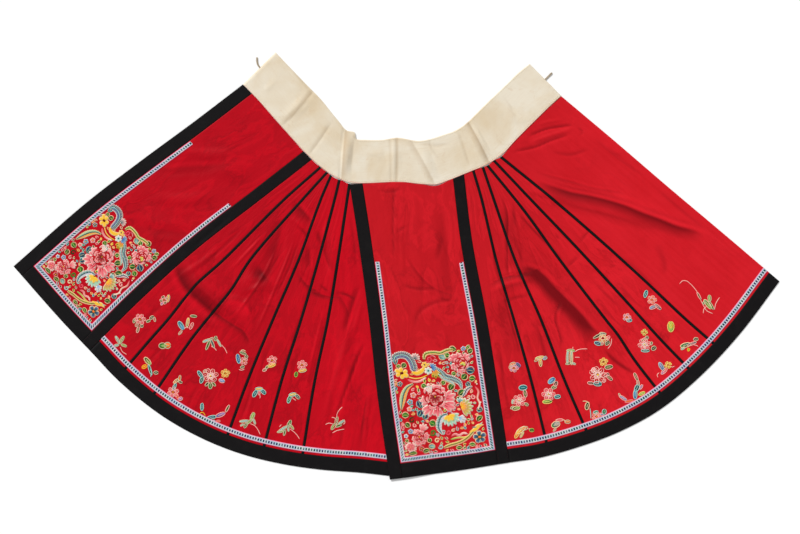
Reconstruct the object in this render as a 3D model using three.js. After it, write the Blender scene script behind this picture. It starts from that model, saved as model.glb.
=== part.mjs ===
// Embroidered wrap skirt, opened out and laid flat: a bent cotton waistband carries two half skirts, and
// the face panel of the right half lies over the inner panel of the left half.
// Millimetres. +X runs to the right of the skirt, +Y from hem to waistband, +Z up from the surface below.
import * as THREE from 'three';

// Thickness of each kind of cloth
const SATIN = 1.6;
const BINDING = 2.0;
const RIBBON = 1.0;
const COTTON = 3.0;

// Room between pieces at a seam, and the longest straight stretch of cloth along the bent waistband
const SEAM_GAP = 0.3;
const WAIST_STRETCH = 42;

// Widths of the bands, pipings and ribbons, and the distances from the edge that each starts at
const PIPING_WIDTH = 8;
const FACE_BORDER_WIDTH = { outer: 37, inner: 34 };
const FACE_HEM_WIDTH = 42;
const HEM_BAND_WIDTH = 39;
const HEM_RIBBON = { start: 46, end: 61 };
const FACE_RIBBON = { start: 2, end: 16 };

// Button loops, a doubled cord at each end of the waistband: how far it stands out, the thickness of the
// cord, half the distance between its two legs
const LOOP = { length: 27, cord: 2.2, spread: 1.3, cordSides: 6, steps: 14 };

// How finely each piece is divided, along its length and across it
const DIVISIONS = {
  down: 20, face: 9, gore: 4, wideGore: 7, inner: 8, band: 56, bandAcross: 5, ribbonLeg: 14,
};

// Waistband, a row for each section from the left end to the right end: its sewn edge and its free edge
const BAND_SECTIONS = [
  { sewn: [-441, 521], free: [-347, 613] },
  { sewn: [-397, 476], free: [-306, 570] },
  { sewn: [-346, 418], free: [-257, 519] },
  { sewn: [-296, 362], free: [-215, 476] },
  { sewn: [-264, 327], free: [-191, 446] },
  { sewn: [-225, 290], free: [-168, 418] },
  { sewn: [-177, 255], free: [-143, 389] },
  { sewn: [-154, 245], free: [-120, 383] },
  { sewn: [-133, 238], free: [-115, 365] },
  { sewn: [-90, 237], free: [-88, 362] },
  { sewn: [-42, 239], free: [-42, 362] },
  { sewn: [10, 241], free: [4, 368] },
  { sewn: [67, 235], free: [62, 359] },
  { sewn: [113, 233], free: [102, 366] },
  { sewn: [154, 247], free: [136, 377] },
  { sewn: [188, 261], free: [165, 387] },
  { sewn: [222, 275], free: [191, 402] },
  { sewn: [260, 290], free: [211, 419] },
  { sewn: [280, 303], free: [222, 430] },
  { sewn: [300, 316], free: [237, 445] },
  { sewn: [343, 362], free: [268, 476] },
  { sewn: [400, 419], free: [317, 523] },
  { sewn: [441, 459], free: [349, 554] },
  { sewn: [473, 488], free: [382, 580] },
];

// Each loop's share of the way along its end of the waistband, and how far its tip leans along that end
const [LEFT_END, RIGHT_END] = [BAND_SECTIONS.at(0), BAND_SECTIONS.at(-1)];
const LOOP_PLACES = [
  { name: 'button_loop_left', from: LEFT_END.free, to: LEFT_END.sewn, share: 0.48, lean: -15 },
  { name: 'button_loop_right', from: RIGHT_END.sewn, to: RIGHT_END.free, share: 0.51, lean: 0 },
];

// Each half skirt: its outer hem from the face panel to the inner panel, and a row for each seam with its
// distance along the sewn edge of the waistband, points on its way down, and its distance along the hem
const HALVES = [
  {
    name: 'left',
    ribbonTops: { outer: 222, inner: 262 },
    hem: [[-1099, -1], [-966, -152], [-880, -243], [-794, -333], [-679, -426], [-564, -492], [-449, -538],
      [-334, -567], [-220, -584], [-105, -593], [-14, -603]],
    seams: [
      { line: 'outer edge', waist: 0, way: [[-584, 412], [-736, 300], [-891, 181]], hem: 0 },
      { line: 'face seam', waist: 293, way: [[-392, 189], [-575, 47], [-735, -98]], hem: 326 },
      {
        line: 'seam 1',
        waist: 326,
        way: [[-324, 189], [-497, 17], [-576, -55], [-657, -155], [-707, -212]],
        hem: 438,
      },
      {
        line: 'seam 2',
        waist: 350,
        way: [[-271, 189], [-420, 17], [-475, -69], [-545, -155], [-590, -212]],
        hem: 552,
      },
      { line: 'seam 3', waist: 364, way: [[-218, 189], [-281, 17], [-355, -155], [-426, -327]], hem: 804 },
      { line: 'seam 4', waist: 391, way: [[-178, 189], [-224, 17], [-274, -155], [-329, -327]], hem: 917 },
      { line: 'seam 5', waist: 422, way: [[-142, 189], [-168, 17], [-197, -155], [-234, -327]], hem: 1034 },
      { line: 'inner edge', waist: 670, way: [[82, 26], [50, -184], [18, -393]], hem: 1296 },
    ],
  },
  {
    name: 'right',
    ribbonTops: { outer: 228, inner: 240 },
    hem: [[-19, -613], [185, -586], [324, -564], [412, -550], [527, -518], [641, -475], [756, -412],
      [871, -317], [986, -194], [1099, -44]],
    seams: [
      { line: 'outer edge', waist: 422, way: [[-110, 75], [-79, -155], [-53, -385]], hem: 0 },
      { line: 'face seam', waist: 756, way: [[217, 75], [260, -155], [297, -385]], hem: 347 },
      { line: 'seam 1', waist: 785, way: [[245, 189], [286, 17], [337, -155], [386, -327]], hem: 464 },
      { line: 'seam 2', waist: 814, way: [[280, 189], [340, 17], [415, -155], [482, -327]], hem: 590 },
      {
        line: 'seam 3',
        waist: 828,
        way: [[369, 155], [469, 17], [601, -155], [636, -199], [683, -270]],
        hem: 838,
      },
      { line: 'seam 4', waist: 851, way: [[387, 189], [515, 55], [656, -98], [759, -212]], hem: 950 },
      { line: 'seam 5', waist: 873, way: [[451, 189], [583, 75], [710, -40], [832, -155]], hem: 1055 },
      { line: 'inner edge', waist: 1119, way: [[630, 355], [785, 222], [943, 89]], hem: 1314 },
    ],
  },
];

// Folds that lift the cloth off the surface: the two ends of each ridge, half its width and its height
const FOLDS = [
  { place: 'left gore 2 to 3', from: [-640, 10], to: [-400, -215], reach: 48, rise: 6 },
  { place: 'left gore 3, upper', from: [-470, -75], to: [-330, -20], reach: 45, rise: 5 },
  { place: 'left face panel, upper', from: [-560, 330], to: [-400, 235], reach: 50, rise: 4 },
  { place: 'left face panel, lower', from: [-740, 160], to: [-600, 60], reach: 50, rise: 3 },
  { place: 'left inner panel', from: [-150, -110], to: [-150, -500], reach: 36, rise: 5 },
  { place: 'left inner panel, middle', from: [-170, 150], to: [-185, -120], reach: 30, rise: 3 },
  { place: 'right long fold', from: [330, 250], to: [860, 100], reach: 46, rise: 9 },
  { place: 'right gore 3', from: [360, 0], to: [690, -300], reach: 55, rise: 6 },
  { place: 'right gore 1', from: [270, -60], to: [430, 0], reach: 40, rise: 4 },
  { place: 'right inner panel', from: [480, 420], to: [640, 290], reach: 48, rise: 4 },
  { place: 'waistband, left tuck', from: [-138, 390], to: [-150, 255], reach: 20, rise: 6 },
  { place: 'waistband, right tuck', from: [205, 412], to: [268, 298], reach: 20, rise: 6 },
  { place: 'waistband, middle', from: [-8, 368], to: [-8, 250], reach: 24, rise: 3 },
  { place: 'waistband, middle right', from: [55, 360], to: [112, 240], reach: 24, rise: 4 },
  { place: 'waistband, left arm', from: [-235, 500], to: [-330, 410], reach: 26, rise: 3 },
];

// Where the right face panel lies over the left inner panel: the height it is lifted by, over the panel
// alone and over its hem band and ribbon, and the stretches in which it sinks to the surface and rises to
// the hem
const OVERLAP = {
  overPanel: BINDING + SEAM_GAP,
  overHem: BINDING + RIBBON + 2 * SEAM_GAP,
  sinkStart: 30,
  sinkEnd: 130,
  riseStart: -400,
  riseEnd: -505,
};

const materials = {
  redSatin: new THREE.MeshStandardMaterial({ color: 0xc4162b, roughness: 0.42 }),
  blackSatin: new THREE.MeshStandardMaterial({ color: 0x171615, roughness: 0.45 }),
  wovenRibbon: new THREE.MeshStandardMaterial({ color: 0xb9cbd3, roughness: 0.6 }),
  cotton: new THREE.MeshStandardMaterial({ color: 0xe6d9bf, roughness: 0.9 }),
  cord: new THREE.MeshStandardMaterial({ color: 0xd9c8a8, roughness: 0.85 }),
};

const { lerp, clamp, smoothstep } = THREE.MathUtils;

// A smooth line on the surface through [x, y] points
function smoothLine(points) {
  const curve = new THREE.CatmullRomCurve3(points.map(([x, y]) => new THREE.Vector3(x, y, 0)));
  curve.arcLengthDivisions = 600;
  return curve;
}

// The point at a share of a line's length, moved sideways to the left of its direction
function pointOn(line, share, leftward = 0) {
  const t = clamp(share, 0, 1);
  const point = line.getPointAt(t);
  const direction = line.getTangentAt(t);
  return new THREE.Vector2(point.x - leftward * direction.y, point.y + leftward * direction.x);
}

const sewnEdge = smoothLine(BAND_SECTIONS.map((section) => section.sewn));
const freeEdge = smoothLine(BAND_SECTIONS.map((section) => section.free));

// Where the cloth below the waistband starts, at a distance along the sewn edge. The cloth meets the band
// in straight stretches, so where the band bends out it keeps clear by the height of such a stretch's arc
function waistPoint(distance) {
  const length = sewnEdge.getLength();
  const [before, here, after] = [-0.5, 0, 0.5].map((step) => (
    pointOn(sewnEdge, (distance + step * WAIST_STRETCH) / length)
  ));
  const chord = after.clone().sub(before);
  const arcHeight = chord.clone().cross(before.clone().sub(here)) / chord.length();
  return pointOn(sewnEdge, distance / length, -SEAM_GAP - Math.max(0, arcHeight));
}

// Height of the folds over the surface: each ridge is (1 - r²)² across and fades to nothing at its ends
function foldHeight(x, y) {
  return FOLDS.reduce((height, { from, to, reach, rise }) => {
    const [dx, dy] = [to[0] - from[0], to[1] - from[1]];
    const length = Math.hypot(dx, dy);
    const along = ((x - from[0]) * dx + (y - from[1]) * dy) / length ** 2;
    const across = ((x - from[0]) * dy - (y - from[1]) * dx) / length / reach;
    if (along <= 0 || along >= 1 || Math.abs(across) >= 1) return height;
    return height + rise * (1 - across ** 2) ** 2 * (1 - (2 * along - 1) ** 2) ** 2;
  }, 0);
}

// Height of the right face panel where it lies over the left inner panel, whose hidden edge runs down
// beneath it
function overlapHeight(x, y) {
  const hidden = HALVES[0].seams.at(-1);
  const top = waistPoint(hidden.waist);
  const foot = HALVES[0].hem.at(-1);
  const edgeX = lerp(top.x, foot[0], (top.y - y) / (top.y - foot[1]));
  const nearHem = smoothstep(-y, -OVERLAP.riseStart, -OVERLAP.riseEnd);
  const lift = lerp(OVERLAP.overPanel, OVERLAP.overHem, nearHem);
  return lift * (1 - smoothstep(x - edgeX, OVERLAP.sinkStart, OVERLAP.sinkEnd));
}

// A line down a half skirt beside one of its seams, `aside` to the seam's inner panel side, from waist to hem
function sideLine(half, hemLine, seam, aside) {
  const hemPoint = (distance) => pointOn(hemLine, distance / hemLine.getLength());
  const seamEnds = [waistPoint(seam.waist).toArray(), hemPoint(seam.hem).toArray()];
  const line = smoothLine([seamEnds[0], ...seam.way, seamEnds[1]]);
  const waist = seam.waist + aside;
  const hem = seam.hem + aside;
  const topShift = waistPoint(waist).sub(pointOn(line, 0, aside));
  const hemShift = hemPoint(hem).sub(pointOn(line, 1, aside));
  return {
    waist,
    hem,
    length: line.getLength(),
    at: (v) => pointOn(line, v, aside).addScaledVector(topShift, 1 - v).addScaledVector(hemShift, v),
  };
}

// The cloth between two side lines: (u, v) runs from side to side and from the waistband to the hem
function clothBetween(hemLine, a, b) {
  const hemPoint = (distance) => pointOn(hemLine, distance / hemLine.getLength());
  const bow = (edgePoint, [from, to], u) => edgePoint.sub(from.clone().lerp(to, u));
  const corners = { top: [a.at(0), b.at(0)], foot: [a.at(1), b.at(1)] };
  return {
    width: corners.foot[0].distanceTo(corners.foot[1]),
    downTo: (u, fromHem) => 1 - fromHem / lerp(a.length, b.length, u),
    at: (u, v) => {
      const topBow = bow(waistPoint(lerp(a.waist, b.waist, u)), corners.top, u);
      const hemBow = bow(hemPoint(lerp(a.hem, b.hem, u)), corners.foot, u);
      return a.at(v).lerp(b.at(v), u).addScaledVector(topBow, 1 - v).addScaledVector(hemBow, v);
    },
  };
}

// Rows of points over a cloth, from the waistband down to a distance above the hem line
function clothRows(cloth, across, fromHem) {
  return Array.from({ length: DIVISIONS.down + 1 }, (_, row) => (
    Array.from({ length: across + 1 }, (_unused, column) => {
      const u = column / across;
      return cloth.at(u, (cloth.downTo(u, fromHem) * row) / DIVISIONS.down);
    })
  ));
}

// Two rows of points along the hem across neighbouring cloths, between two distances above the hem line
function hemRows(cloths, upper, lower) {
  const rowAt = (fromHem) => cloths.flatMap(({ cloth, across }, index) => {
    const last = index === cloths.length - 1 ? across : across - 1;
    return Array.from({ length: last + 1 }, (_, column) => {
      const u = column / across;
      return cloth.at(u, cloth.downTo(u, fromHem));
    });
  });
  return [rowAt(upper), rowAt(lower)];
}

// A closed wall of cloth over rows of points, whose underside lies at the height that `lay` gives
function sheetGeometry(rows, lay, wall) {
  const count = { rows: rows.length, across: rows[0].length };
  const flat = rows.flat();
  const undersides = flat.map((point) => new THREE.Vector3(point.x, point.y, lay(point.x, point.y)));
  const tops = undersides.map((point) => point.clone().setZ(point.z + wall));
  const id = (row, column) => row * count.across + column;
  const index = [];
  for (let row = 0; row < count.rows - 1; row += 1) {
    for (let column = 0; column < count.across - 1; column += 1) {
      const [a, b] = [id(row, column), id(row, column + 1)];
      const [d, c] = [id(row + 1, column), id(row + 1, column + 1)];
      index.push(a, c, d, a, b, c);
      index.push(...[a, d, c, a, c, b].map((corner) => corner + flat.length));
    }
  }
  const rim = [];
  for (let row = 0; row < count.rows - 1; row += 1) rim.push(id(row, 0));
  for (let column = 0; column < count.across - 1; column += 1) rim.push(id(count.rows - 1, column));
  for (let row = count.rows - 1; row > 0; row -= 1) rim.push(id(row, count.across - 1));
  for (let column = count.across - 1; column > 0; column -= 1) rim.push(id(0, column));
  rim.forEach((corner, place) => {
    const next = rim[(place + 1) % rim.length];
    index.push(corner, next, next + flat.length, corner, next + flat.length, corner + flat.length);
  });
  const geometry = new THREE.BufferGeometry().setFromPoints([...undersides, ...tops]);
  geometry.setIndex(index);
  geometry.computeVertexNormals();
  return geometry;
}

function piece(name, geometry, material) {
  const mesh = new THREE.Mesh(geometry, material);
  mesh.name = name;
  return mesh;
}

// The ribbon down one side of a face panel, along its foot and up the other side, as pairs of an outer and
// an inner point
function faceRibbonRows(cloth, tops, panelFoot) {
  const edges = [FACE_RIBBON.start, FACE_RIBBON.end].map((inset) => ({
    u: inset / cloth.width,
    foot: cloth.downTo(0.5, panelFoot + inset),
  }));
  const steps = (count, pointsAt) => (
    Array.from({ length: count }, (_, step) => edges.map(pointsAt(step / count)))
  );
  const topAt = (u, distance) => 1 - cloth.downTo(u, distance);
  const down = (t) => ({ u, foot }) => cloth.at(u, lerp(topAt(0, tops.outer), foot, t));
  const across = (t) => ({ u, foot }) => cloth.at(lerp(u, 1 - u, t), foot);
  const up = (t) => ({ u, foot }) => cloth.at(1 - u, lerp(foot, topAt(1, tops.inner), t));
  return [
    ...steps(DIVISIONS.ribbonLeg, down),
    ...steps(DIVISIONS.face, across),
    ...steps(DIVISIONS.ribbonLeg, up),
    edges.map(up(1)),
  ];
}

// Face panel: the red field, its black border on three sides and the ribbon just inside the border
function facePanel(half, hemLine, lay) {
  const [outer, seam] = half.seams;
  const side = (line, aside) => sideLine(half, hemLine, line, aside);
  const field = clothBetween(
    hemLine,
    side(outer, FACE_BORDER_WIDTH.outer + SEAM_GAP),
    side(seam, -FACE_BORDER_WIDTH.inner - SEAM_GAP),
  );
  const borderOuter = clothBetween(hemLine, side(outer, 0), side(outer, FACE_BORDER_WIDTH.outer));
  const borderInner = clothBetween(hemLine, side(seam, -FACE_BORDER_WIDTH.inner), side(seam, -SEAM_GAP));
  const onField = (x, y) => lay(x, y) + SATIN + SEAM_GAP;
  const panelFoot = FACE_HEM_WIDTH + SEAM_GAP;
  const hemRowsOfField = hemRows([{ cloth: field, across: DIVISIONS.face }], FACE_HEM_WIDTH, 0);
  const ribbonRows = faceRibbonRows(field, half.ribbonTops, panelFoot);
  const group = new THREE.Group();
  group.add(
    piece(`${half.name}_face_panel`, sheetGeometry(clothRows(field, DIVISIONS.face, panelFoot), lay, SATIN),
      materials.redSatin),
    piece(`${half.name}_border_outer`, sheetGeometry(clothRows(borderOuter, 1, 0), lay, BINDING),
      materials.blackSatin),
    piece(`${half.name}_border_inner`, sheetGeometry(clothRows(borderInner, 1, 0), lay, BINDING),
      materials.blackSatin),
    piece(`${half.name}_border_hem`, sheetGeometry(hemRowsOfField, lay, BINDING), materials.blackSatin),
    piece(`${half.name}_face_ribbon`, sheetGeometry(ribbonRows, onField, RIBBON), materials.wovenRibbon),
  );
  return group;
}

// Gores, the pipings between them and the plain inner panel, with the hem band and ribbon below them all
function pleatedPanels(half, hemLine, lay) {
  const seams = half.seams.slice(1);
  const halfPiping = PIPING_WIDTH / 2;
  const cloths = [];
  const group = new THREE.Group();
  seams.slice(0, -1).forEach((seam, index) => {
    const isFirst = index === 0;
    const isInner = index === seams.length - 2;
    const left = sideLine(half, hemLine, seam, isFirst ? 0 : halfPiping + SEAM_GAP);
    const right = sideLine(half, hemLine, seams[index + 1], isInner ? 0 : -halfPiping - SEAM_GAP);
    const isWide = index === 2;
    const across = isInner ? DIVISIONS.inner : isWide ? DIVISIONS.wideGore : DIVISIONS.gore;
    const cloth = clothBetween(hemLine, left, right);
    const name = isInner ? `${half.name}_inner_panel` : `${half.name}_gore_${index + 1}`;
    const rows = clothRows(cloth, across, HEM_BAND_WIDTH + SEAM_GAP);
    group.add(piece(name, sheetGeometry(rows, lay, SATIN), materials.redSatin));
    cloths.push({ cloth, across });
    if (isInner) return;
    const pipingSide = (aside) => sideLine(half, hemLine, seams[index + 1], aside);
    const piping = clothBetween(hemLine, pipingSide(-halfPiping), pipingSide(halfPiping));
    const pipingRows = clothRows(piping, 1, HEM_BAND_WIDTH + SEAM_GAP);
    group.add(piece(`${half.name}_piping_${index + 1}`, sheetGeometry(pipingRows, lay, BINDING),
      materials.blackSatin));
    cloths.push({ cloth: piping, across: 1 });
  });
  const onPipings = (x, y) => lay(x, y) + BINDING + SEAM_GAP;
  group.add(
    piece(`${half.name}_hem_band`, sheetGeometry(hemRows(cloths, HEM_BAND_WIDTH, 0), lay, BINDING),
      materials.blackSatin),
    piece(`${half.name}_hem_ribbon`,
      sheetGeometry(hemRows(cloths, HEM_RIBBON.end, HEM_RIBBON.start), onPipings, RIBBON),
      materials.wovenRibbon),
  );
  return group;
}

function waistband() {
  const rows = Array.from({ length: DIVISIONS.band + 1 }, (_, step) => {
    const section = step / DIVISIONS.band;
    const [sewn, free] = [sewnEdge, freeEdge].map((edge) => edge.getPoint(section));
    return Array.from({ length: DIVISIONS.bandAcross + 1 }, (_unused, column) => {
      const t = column / DIVISIONS.bandAcross;
      return new THREE.Vector2(lerp(sewn.x, free.x, t), lerp(sewn.y, free.y, t));
    });
  });
  return piece('waistband', sheetGeometry(rows, foldHeight, COTTON), materials.cotton);
}

// A cord doubled back on itself, standing out from the end of the waistband between two corners of that end
function buttonLoop({ name, from, to, share, lean }) {
  const [a, b] = [from, to].map(([x, y]) => new THREE.Vector2(x, y));
  const alongEnd = b.clone().sub(a).normalize();
  const outward = new THREE.Vector2(alongEnd.y, -alongEnd.x);
  const root = a.clone().lerp(b, share).addScaledVector(outward, SEAM_GAP);
  const place = (aside, out) => {
    const leaning = aside + lean * (out / LOOP.length) ** 2;
    const point = root.clone().addScaledVector(alongEnd, leaning).addScaledVector(outward, out);
    return new THREE.Vector3(point.x, point.y, LOOP.cord / 2);
  };
  const bend = LOOP.length - LOOP.spread;
  const path = new THREE.CatmullRomCurve3([
    place(-LOOP.spread, 0), place(-LOOP.spread, bend * 0.5), place(-LOOP.spread, bend), place(0, LOOP.length),
    place(LOOP.spread, bend), place(LOOP.spread, bend * 0.5), place(LOOP.spread, 0),
  ]);
  const section = new THREE.Shape();
  for (let corner = 0; corner <= LOOP.cordSides; corner += 1) {
    const angle = (2 * Math.PI * corner) / LOOP.cordSides;
    const [x, y] = [Math.cos(angle), Math.sin(angle)].map((value) => (value * LOOP.cord) / 2);
    if (corner === 0) section.moveTo(x, y);
    else section.lineTo(x, y);
  }
  const geometry = new THREE.ExtrudeGeometry(section, { steps: LOOP.steps, extrudePath: path });
  return piece(name, geometry, materials.cord);
}

const skirt = new THREE.Group();
skirt.add(waistband());
skirt.add(...LOOP_PLACES.map(buttonLoop));
for (const half of HALVES) {
  const hemLine = smoothLine(half.hem);
  const isUpper = half.name === 'right';
  const layFace = isUpper ? (x, y) => foldHeight(x, y) + overlapHeight(x, y) : foldHeight;
  skirt.add(facePanel(half, hemLine, layFace));
  skirt.add(pleatedPanels(half, hemLine, foldHeight));
}

export default skirt;
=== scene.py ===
"""An embroidered wrap skirt, opened out and laid flat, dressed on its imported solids.

The waistband, the two half skirts, their borders, pipings and ribbons are each rebuilt as a thin
closed shell of cloth on the form of their solid, with finer creases. Silk embroidery, stitching and
cord lie on them. Tables and fields are in millimetres; a mesh is written in metres.
"""
import logging
import math
from collections.abc import Sequence
from dataclasses import dataclass, field
from enum import Enum

import bpy
import numpy as np
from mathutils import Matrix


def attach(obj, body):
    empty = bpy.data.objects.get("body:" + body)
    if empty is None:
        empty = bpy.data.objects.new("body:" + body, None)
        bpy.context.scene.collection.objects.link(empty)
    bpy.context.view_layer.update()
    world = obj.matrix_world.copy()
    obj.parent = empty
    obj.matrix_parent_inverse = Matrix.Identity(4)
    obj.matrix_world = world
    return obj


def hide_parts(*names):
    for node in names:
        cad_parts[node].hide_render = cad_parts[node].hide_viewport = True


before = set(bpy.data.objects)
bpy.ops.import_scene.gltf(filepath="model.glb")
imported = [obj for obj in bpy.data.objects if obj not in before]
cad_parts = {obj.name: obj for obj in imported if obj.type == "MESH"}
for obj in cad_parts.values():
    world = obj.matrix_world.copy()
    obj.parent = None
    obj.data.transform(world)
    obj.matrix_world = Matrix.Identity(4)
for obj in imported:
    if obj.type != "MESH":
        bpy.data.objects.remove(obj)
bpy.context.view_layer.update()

Array = np.ndarray
Point = tuple[float, float]

MM = 0.001
log = logging.getLogger("skirt")

# Thickness of each kind of cloth, and the room between pieces
SATIN = 1.6
BINDING = 2.0
RIBBON = 1.0
COTTON = 3.0
SEAM_GAP = 0.3

# How far apart sewn edges lie on the plan: they meet, so that no light comes up between them
SEWN = -0.02

# Longest straight stretch of cloth along the bent waistband
WAIST_STRETCH = 42.0

# Widths of the bands and pipings, and the distances from an edge between which the ribbons lie
PIPING_WIDTH = 8.0
BORDER_OUTER = 37.0
BORDER_INNER = 34.0
FACE_HEM_WIDTH = 42.0
HEM_BAND_WIDTH = 39.0
HEM_RIBBON = (46.0, 61.0)
FACE_RIBBON = (2.0, 16.0)

# How far round its points a crease is looked for, and how far a full lean moves its crest, over its reach
CREASE_MARGIN = 1.5
CREST_SHIFT = 0.6

# How much highlight is painted on a crease's steep side, as a share of its painted shade, where over its
# reach that painted highlight is strongest and how far round that place, and how fast its painted shade
# falls off on the gentle and on the steep side
LIT_SHARE = 0.3
LIT_PLACE = 0.55
LIT_HALF = 0.4
GENTLE_SLOPE = 0.68
STEEP_SLOPE = 3.0

# The lightest and the darkest that the highlight and shade painted along creases make the cloth
TONE_LIMITS = (-0.5, 0.9)

# How far a trough may sink beyond the height of the underside, as a share of the cloth's thickness, and
# the thinnest wall
DEEPEST_TROUGH = 0.55
THINNEST_WALL = 0.4

# Distance between the points across a ribbon, and the least height of embroidery silk
RIBBON_SPACING = 3.0
LOWEST_SILK = 0.2

# How far cloth rounds off at its edges: distances from the edge and the share of its thickness there
RIM_OFFSETS = np.array([0.0, 0.5, 1.4, 3.0])
RIM_HEIGHTS = np.array([0.3, 0.78, 0.96, 1.0])

# Sewn and free edge of the waistband, a point of each for every section from its left to its right end
SEWN_EDGE = (
    (-441, 521), (-397, 476), (-346, 418), (-296, 362), (-264, 327), (-225, 290), (-177, 255),
    (-154, 245), (-133, 238), (-90, 237), (-42, 239), (10, 241), (67, 235), (113, 233), (154, 247),
    (188, 261), (222, 275), (260, 290), (280, 303), (300, 316), (343, 362), (400, 419), (441, 459),
    (473, 488),
)
FREE_EDGE = (
    (-347, 613), (-306, 570), (-257, 519), (-215, 476), (-191, 446), (-168, 418), (-143, 389),
    (-120, 383), (-115, 365), (-88, 362), (-42, 362), (4, 368), (62, 359), (102, 366), (136, 377),
    (165, 387), (191, 402), (211, 419), (222, 430), (237, 445), (268, 476), (317, 523), (349, 554),
    (382, 580),
)


class Slot(Enum):
    """Finishes that the construction names, as its material slots."""

    RED_SATIN = "red_satin"
    BLACK_SATIN = "black_satin"
    WOVEN_RIBBON = "woven_ribbon"
    COTTON = "cotton"
    CORD = "cord"


class Silk(Enum):
    """Colours of the embroidery silks, as sRGB shares."""

    WHITE = (0.97, 0.90, 0.84)
    CREAM = (0.95, 0.84, 0.66)
    ECRU = (0.80, 0.75, 0.62)
    SHELL = (0.98, 0.70, 0.66)
    PINK = (0.95, 0.50, 0.52)
    ROSE = (0.92, 0.32, 0.38)
    MAGENTA = (0.80, 0.08, 0.32)
    CRIMSON = (0.74, 0.01, 0.08)
    WINE = (0.42, 0.01, 0.05)
    GOLD = (0.98, 0.76, 0.16)
    STRAW = (0.95, 0.84, 0.46)
    ORANGE = (0.96, 0.48, 0.18)
    LIME = (0.58, 0.76, 0.34)
    LEAF = (0.16, 0.48, 0.14)
    FOREST = (0.03, 0.24, 0.08)
    TEAL = (0.02, 0.40, 0.42)
    MIST = (0.62, 0.84, 0.80)
    SKY = (0.40, 0.66, 0.84)
    BLUE = (0.12, 0.36, 0.62)
    NAVY = (0.06, 0.14, 0.36)
    LILAC = (0.66, 0.52, 0.74)


def linear(colour: Sequence[float]) -> Array:
    """Turns an sRGB colour into linear light.

    Args:
        colour: three shares from 0 to 1.

    Returns:
        The linear colour: a share to the power 2.4 above a small toe.
    """
    c = np.asarray(colour, float)
    return np.where(c <= 0.04045, c / 12.92, ((c + 0.055) / 1.055) ** 2.4)


def blend(a: Array, b: Array, share: Array) -> Array:
    """Returns a at share 0 and b at share 1, in a straight line between."""
    return a + (b - a) * share


def smoothstep(x: Array, start: float, end: float) -> Array:
    """Returns 0 before start and 1 after end, joined by 3t squared minus 2t cubed."""
    t = np.clip((x - start) / (end - start), 0, 1)
    return t * t * (3 - 2 * t)


def run_along(points: Array) -> Array:
    """Measures a line of points.

    Args:
        points: an (n, 2) array.

    Returns:
        How far along the line each point lies, the first at 0.
    """
    return np.concatenate([[0.0], np.cumsum(np.linalg.norm(np.diff(points, axis=0), axis=1))])


def heading(angle: Array) -> Array:
    """Returns the unit vector at each angle in radians, with x and y last."""
    return np.stack([np.cos(angle), np.sin(angle)], axis=-1)


def turning(degrees: float) -> Array:
    """Returns the matrix that turns rows of x and y to the left, put after them in a product."""
    c, s = math.cos(math.radians(degrees)), math.sin(math.radians(degrees))
    return np.array([[c, s], [-s, c]])


class SmoothLine:
    """A smooth line through given points, followed by its length.

    Between two points it is a cubic. Its slope at a point weighs the chords on either side by the
    square roots of their lengths, which is the centripetal Catmull-Rom rule.
    """

    STEPS = 24

    def __init__(self, points: Sequence[Point]) -> None:
        """Works out the cubics between the points and the length run along them.

        Args:
            points: at least two (x, y) points in order.
        """
        p = np.asarray(points, float)
        self.spans = len(p) - 1
        chain = np.vstack([2 * p[0] - p[1], p, 2 * p[-1] - p[-2]])
        before, start, end, after = (chain[k:k + self.spans] for k in range(4))
        g0, g1, g2 = (
            np.sqrt(np.linalg.norm(b - a, axis=1))[:, None]
            for a, b in ((before, start), (start, end), (end, after))
        )
        slope_in = ((start - before) / g0 - (end - before) / (g0 + g1)) * g1 + end - start
        slope_out = ((after - end) / g2 - (after - start) / (g1 + g2)) * g1 + end - start
        square = 3 * (end - start) - 2 * slope_in - slope_out
        cube = 2 * (start - end) + slope_in + slope_out
        self.cubics = (start, slope_in, square, cube)
        self.dense = self.at_parameter(np.linspace(0, 1, self.STEPS * self.spans + 1))
        self.run = run_along(self.dense)
        self.length = float(self.run[-1])
        slope = np.gradient(self.dense, axis=0)
        self.direction = slope / np.linalg.norm(slope, axis=1)[:, None]

    def at_parameter(self, share: Array) -> Array:
        """Follows each span's cubic in turn, an equal share of the whole to each.

        Args:
            share: shares from 0 to 1, an array of any shape.

        Returns:
            An array of the shape of share with x and y last.
        """
        place = np.clip(np.asarray(share, float), 0, 1) * self.spans
        span = np.minimum(place.astype(int), self.spans - 1)
        t = (place - span)[..., None]
        a, b, c, d = (part[span] for part in self.cubics)
        return a + t * (b + t * (c + t * d))

    def at(self, share: Array, leftward: Array | float = 0.0) -> Array:
        """Returns the points at shares of the length, moved to the left of the line's direction.

        Args:
            share: shares from 0 to 1, an array of any shape.
            leftward: distance to the left, one for all or one for each share.

        Returns:
            An array of the shape of share with x and y last.
        """
        where = np.clip(np.asarray(share, float), 0, 1) * self.length
        x, y, dx, dy = (
            np.interp(where, self.run, column) for column in (*self.dense.T, *self.direction.T)
        )
        return np.stack([x - leftward * dy, y + leftward * dx], axis=-1)

    def distances(self, xy: Array) -> tuple[Array, Array]:
        """Measures points from the line.

        Args:
            xy: an (n, 2) array of points.

        Returns:
            The share of the length beside which each point lies, and its distance to the left.
        """
        gap = xy[:, None, :] - self.dense[None]
        nearest = np.argmin((gap ** 2).sum(axis=2), axis=1)
        offset = xy - self.dense[nearest]
        direction = self.direction[nearest]
        along = self.run[nearest] + (offset * direction).sum(axis=1)
        leftward = direction[:, 0] * offset[:, 1] - direction[:, 1] * offset[:, 0]
        return along / self.length, leftward


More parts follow.
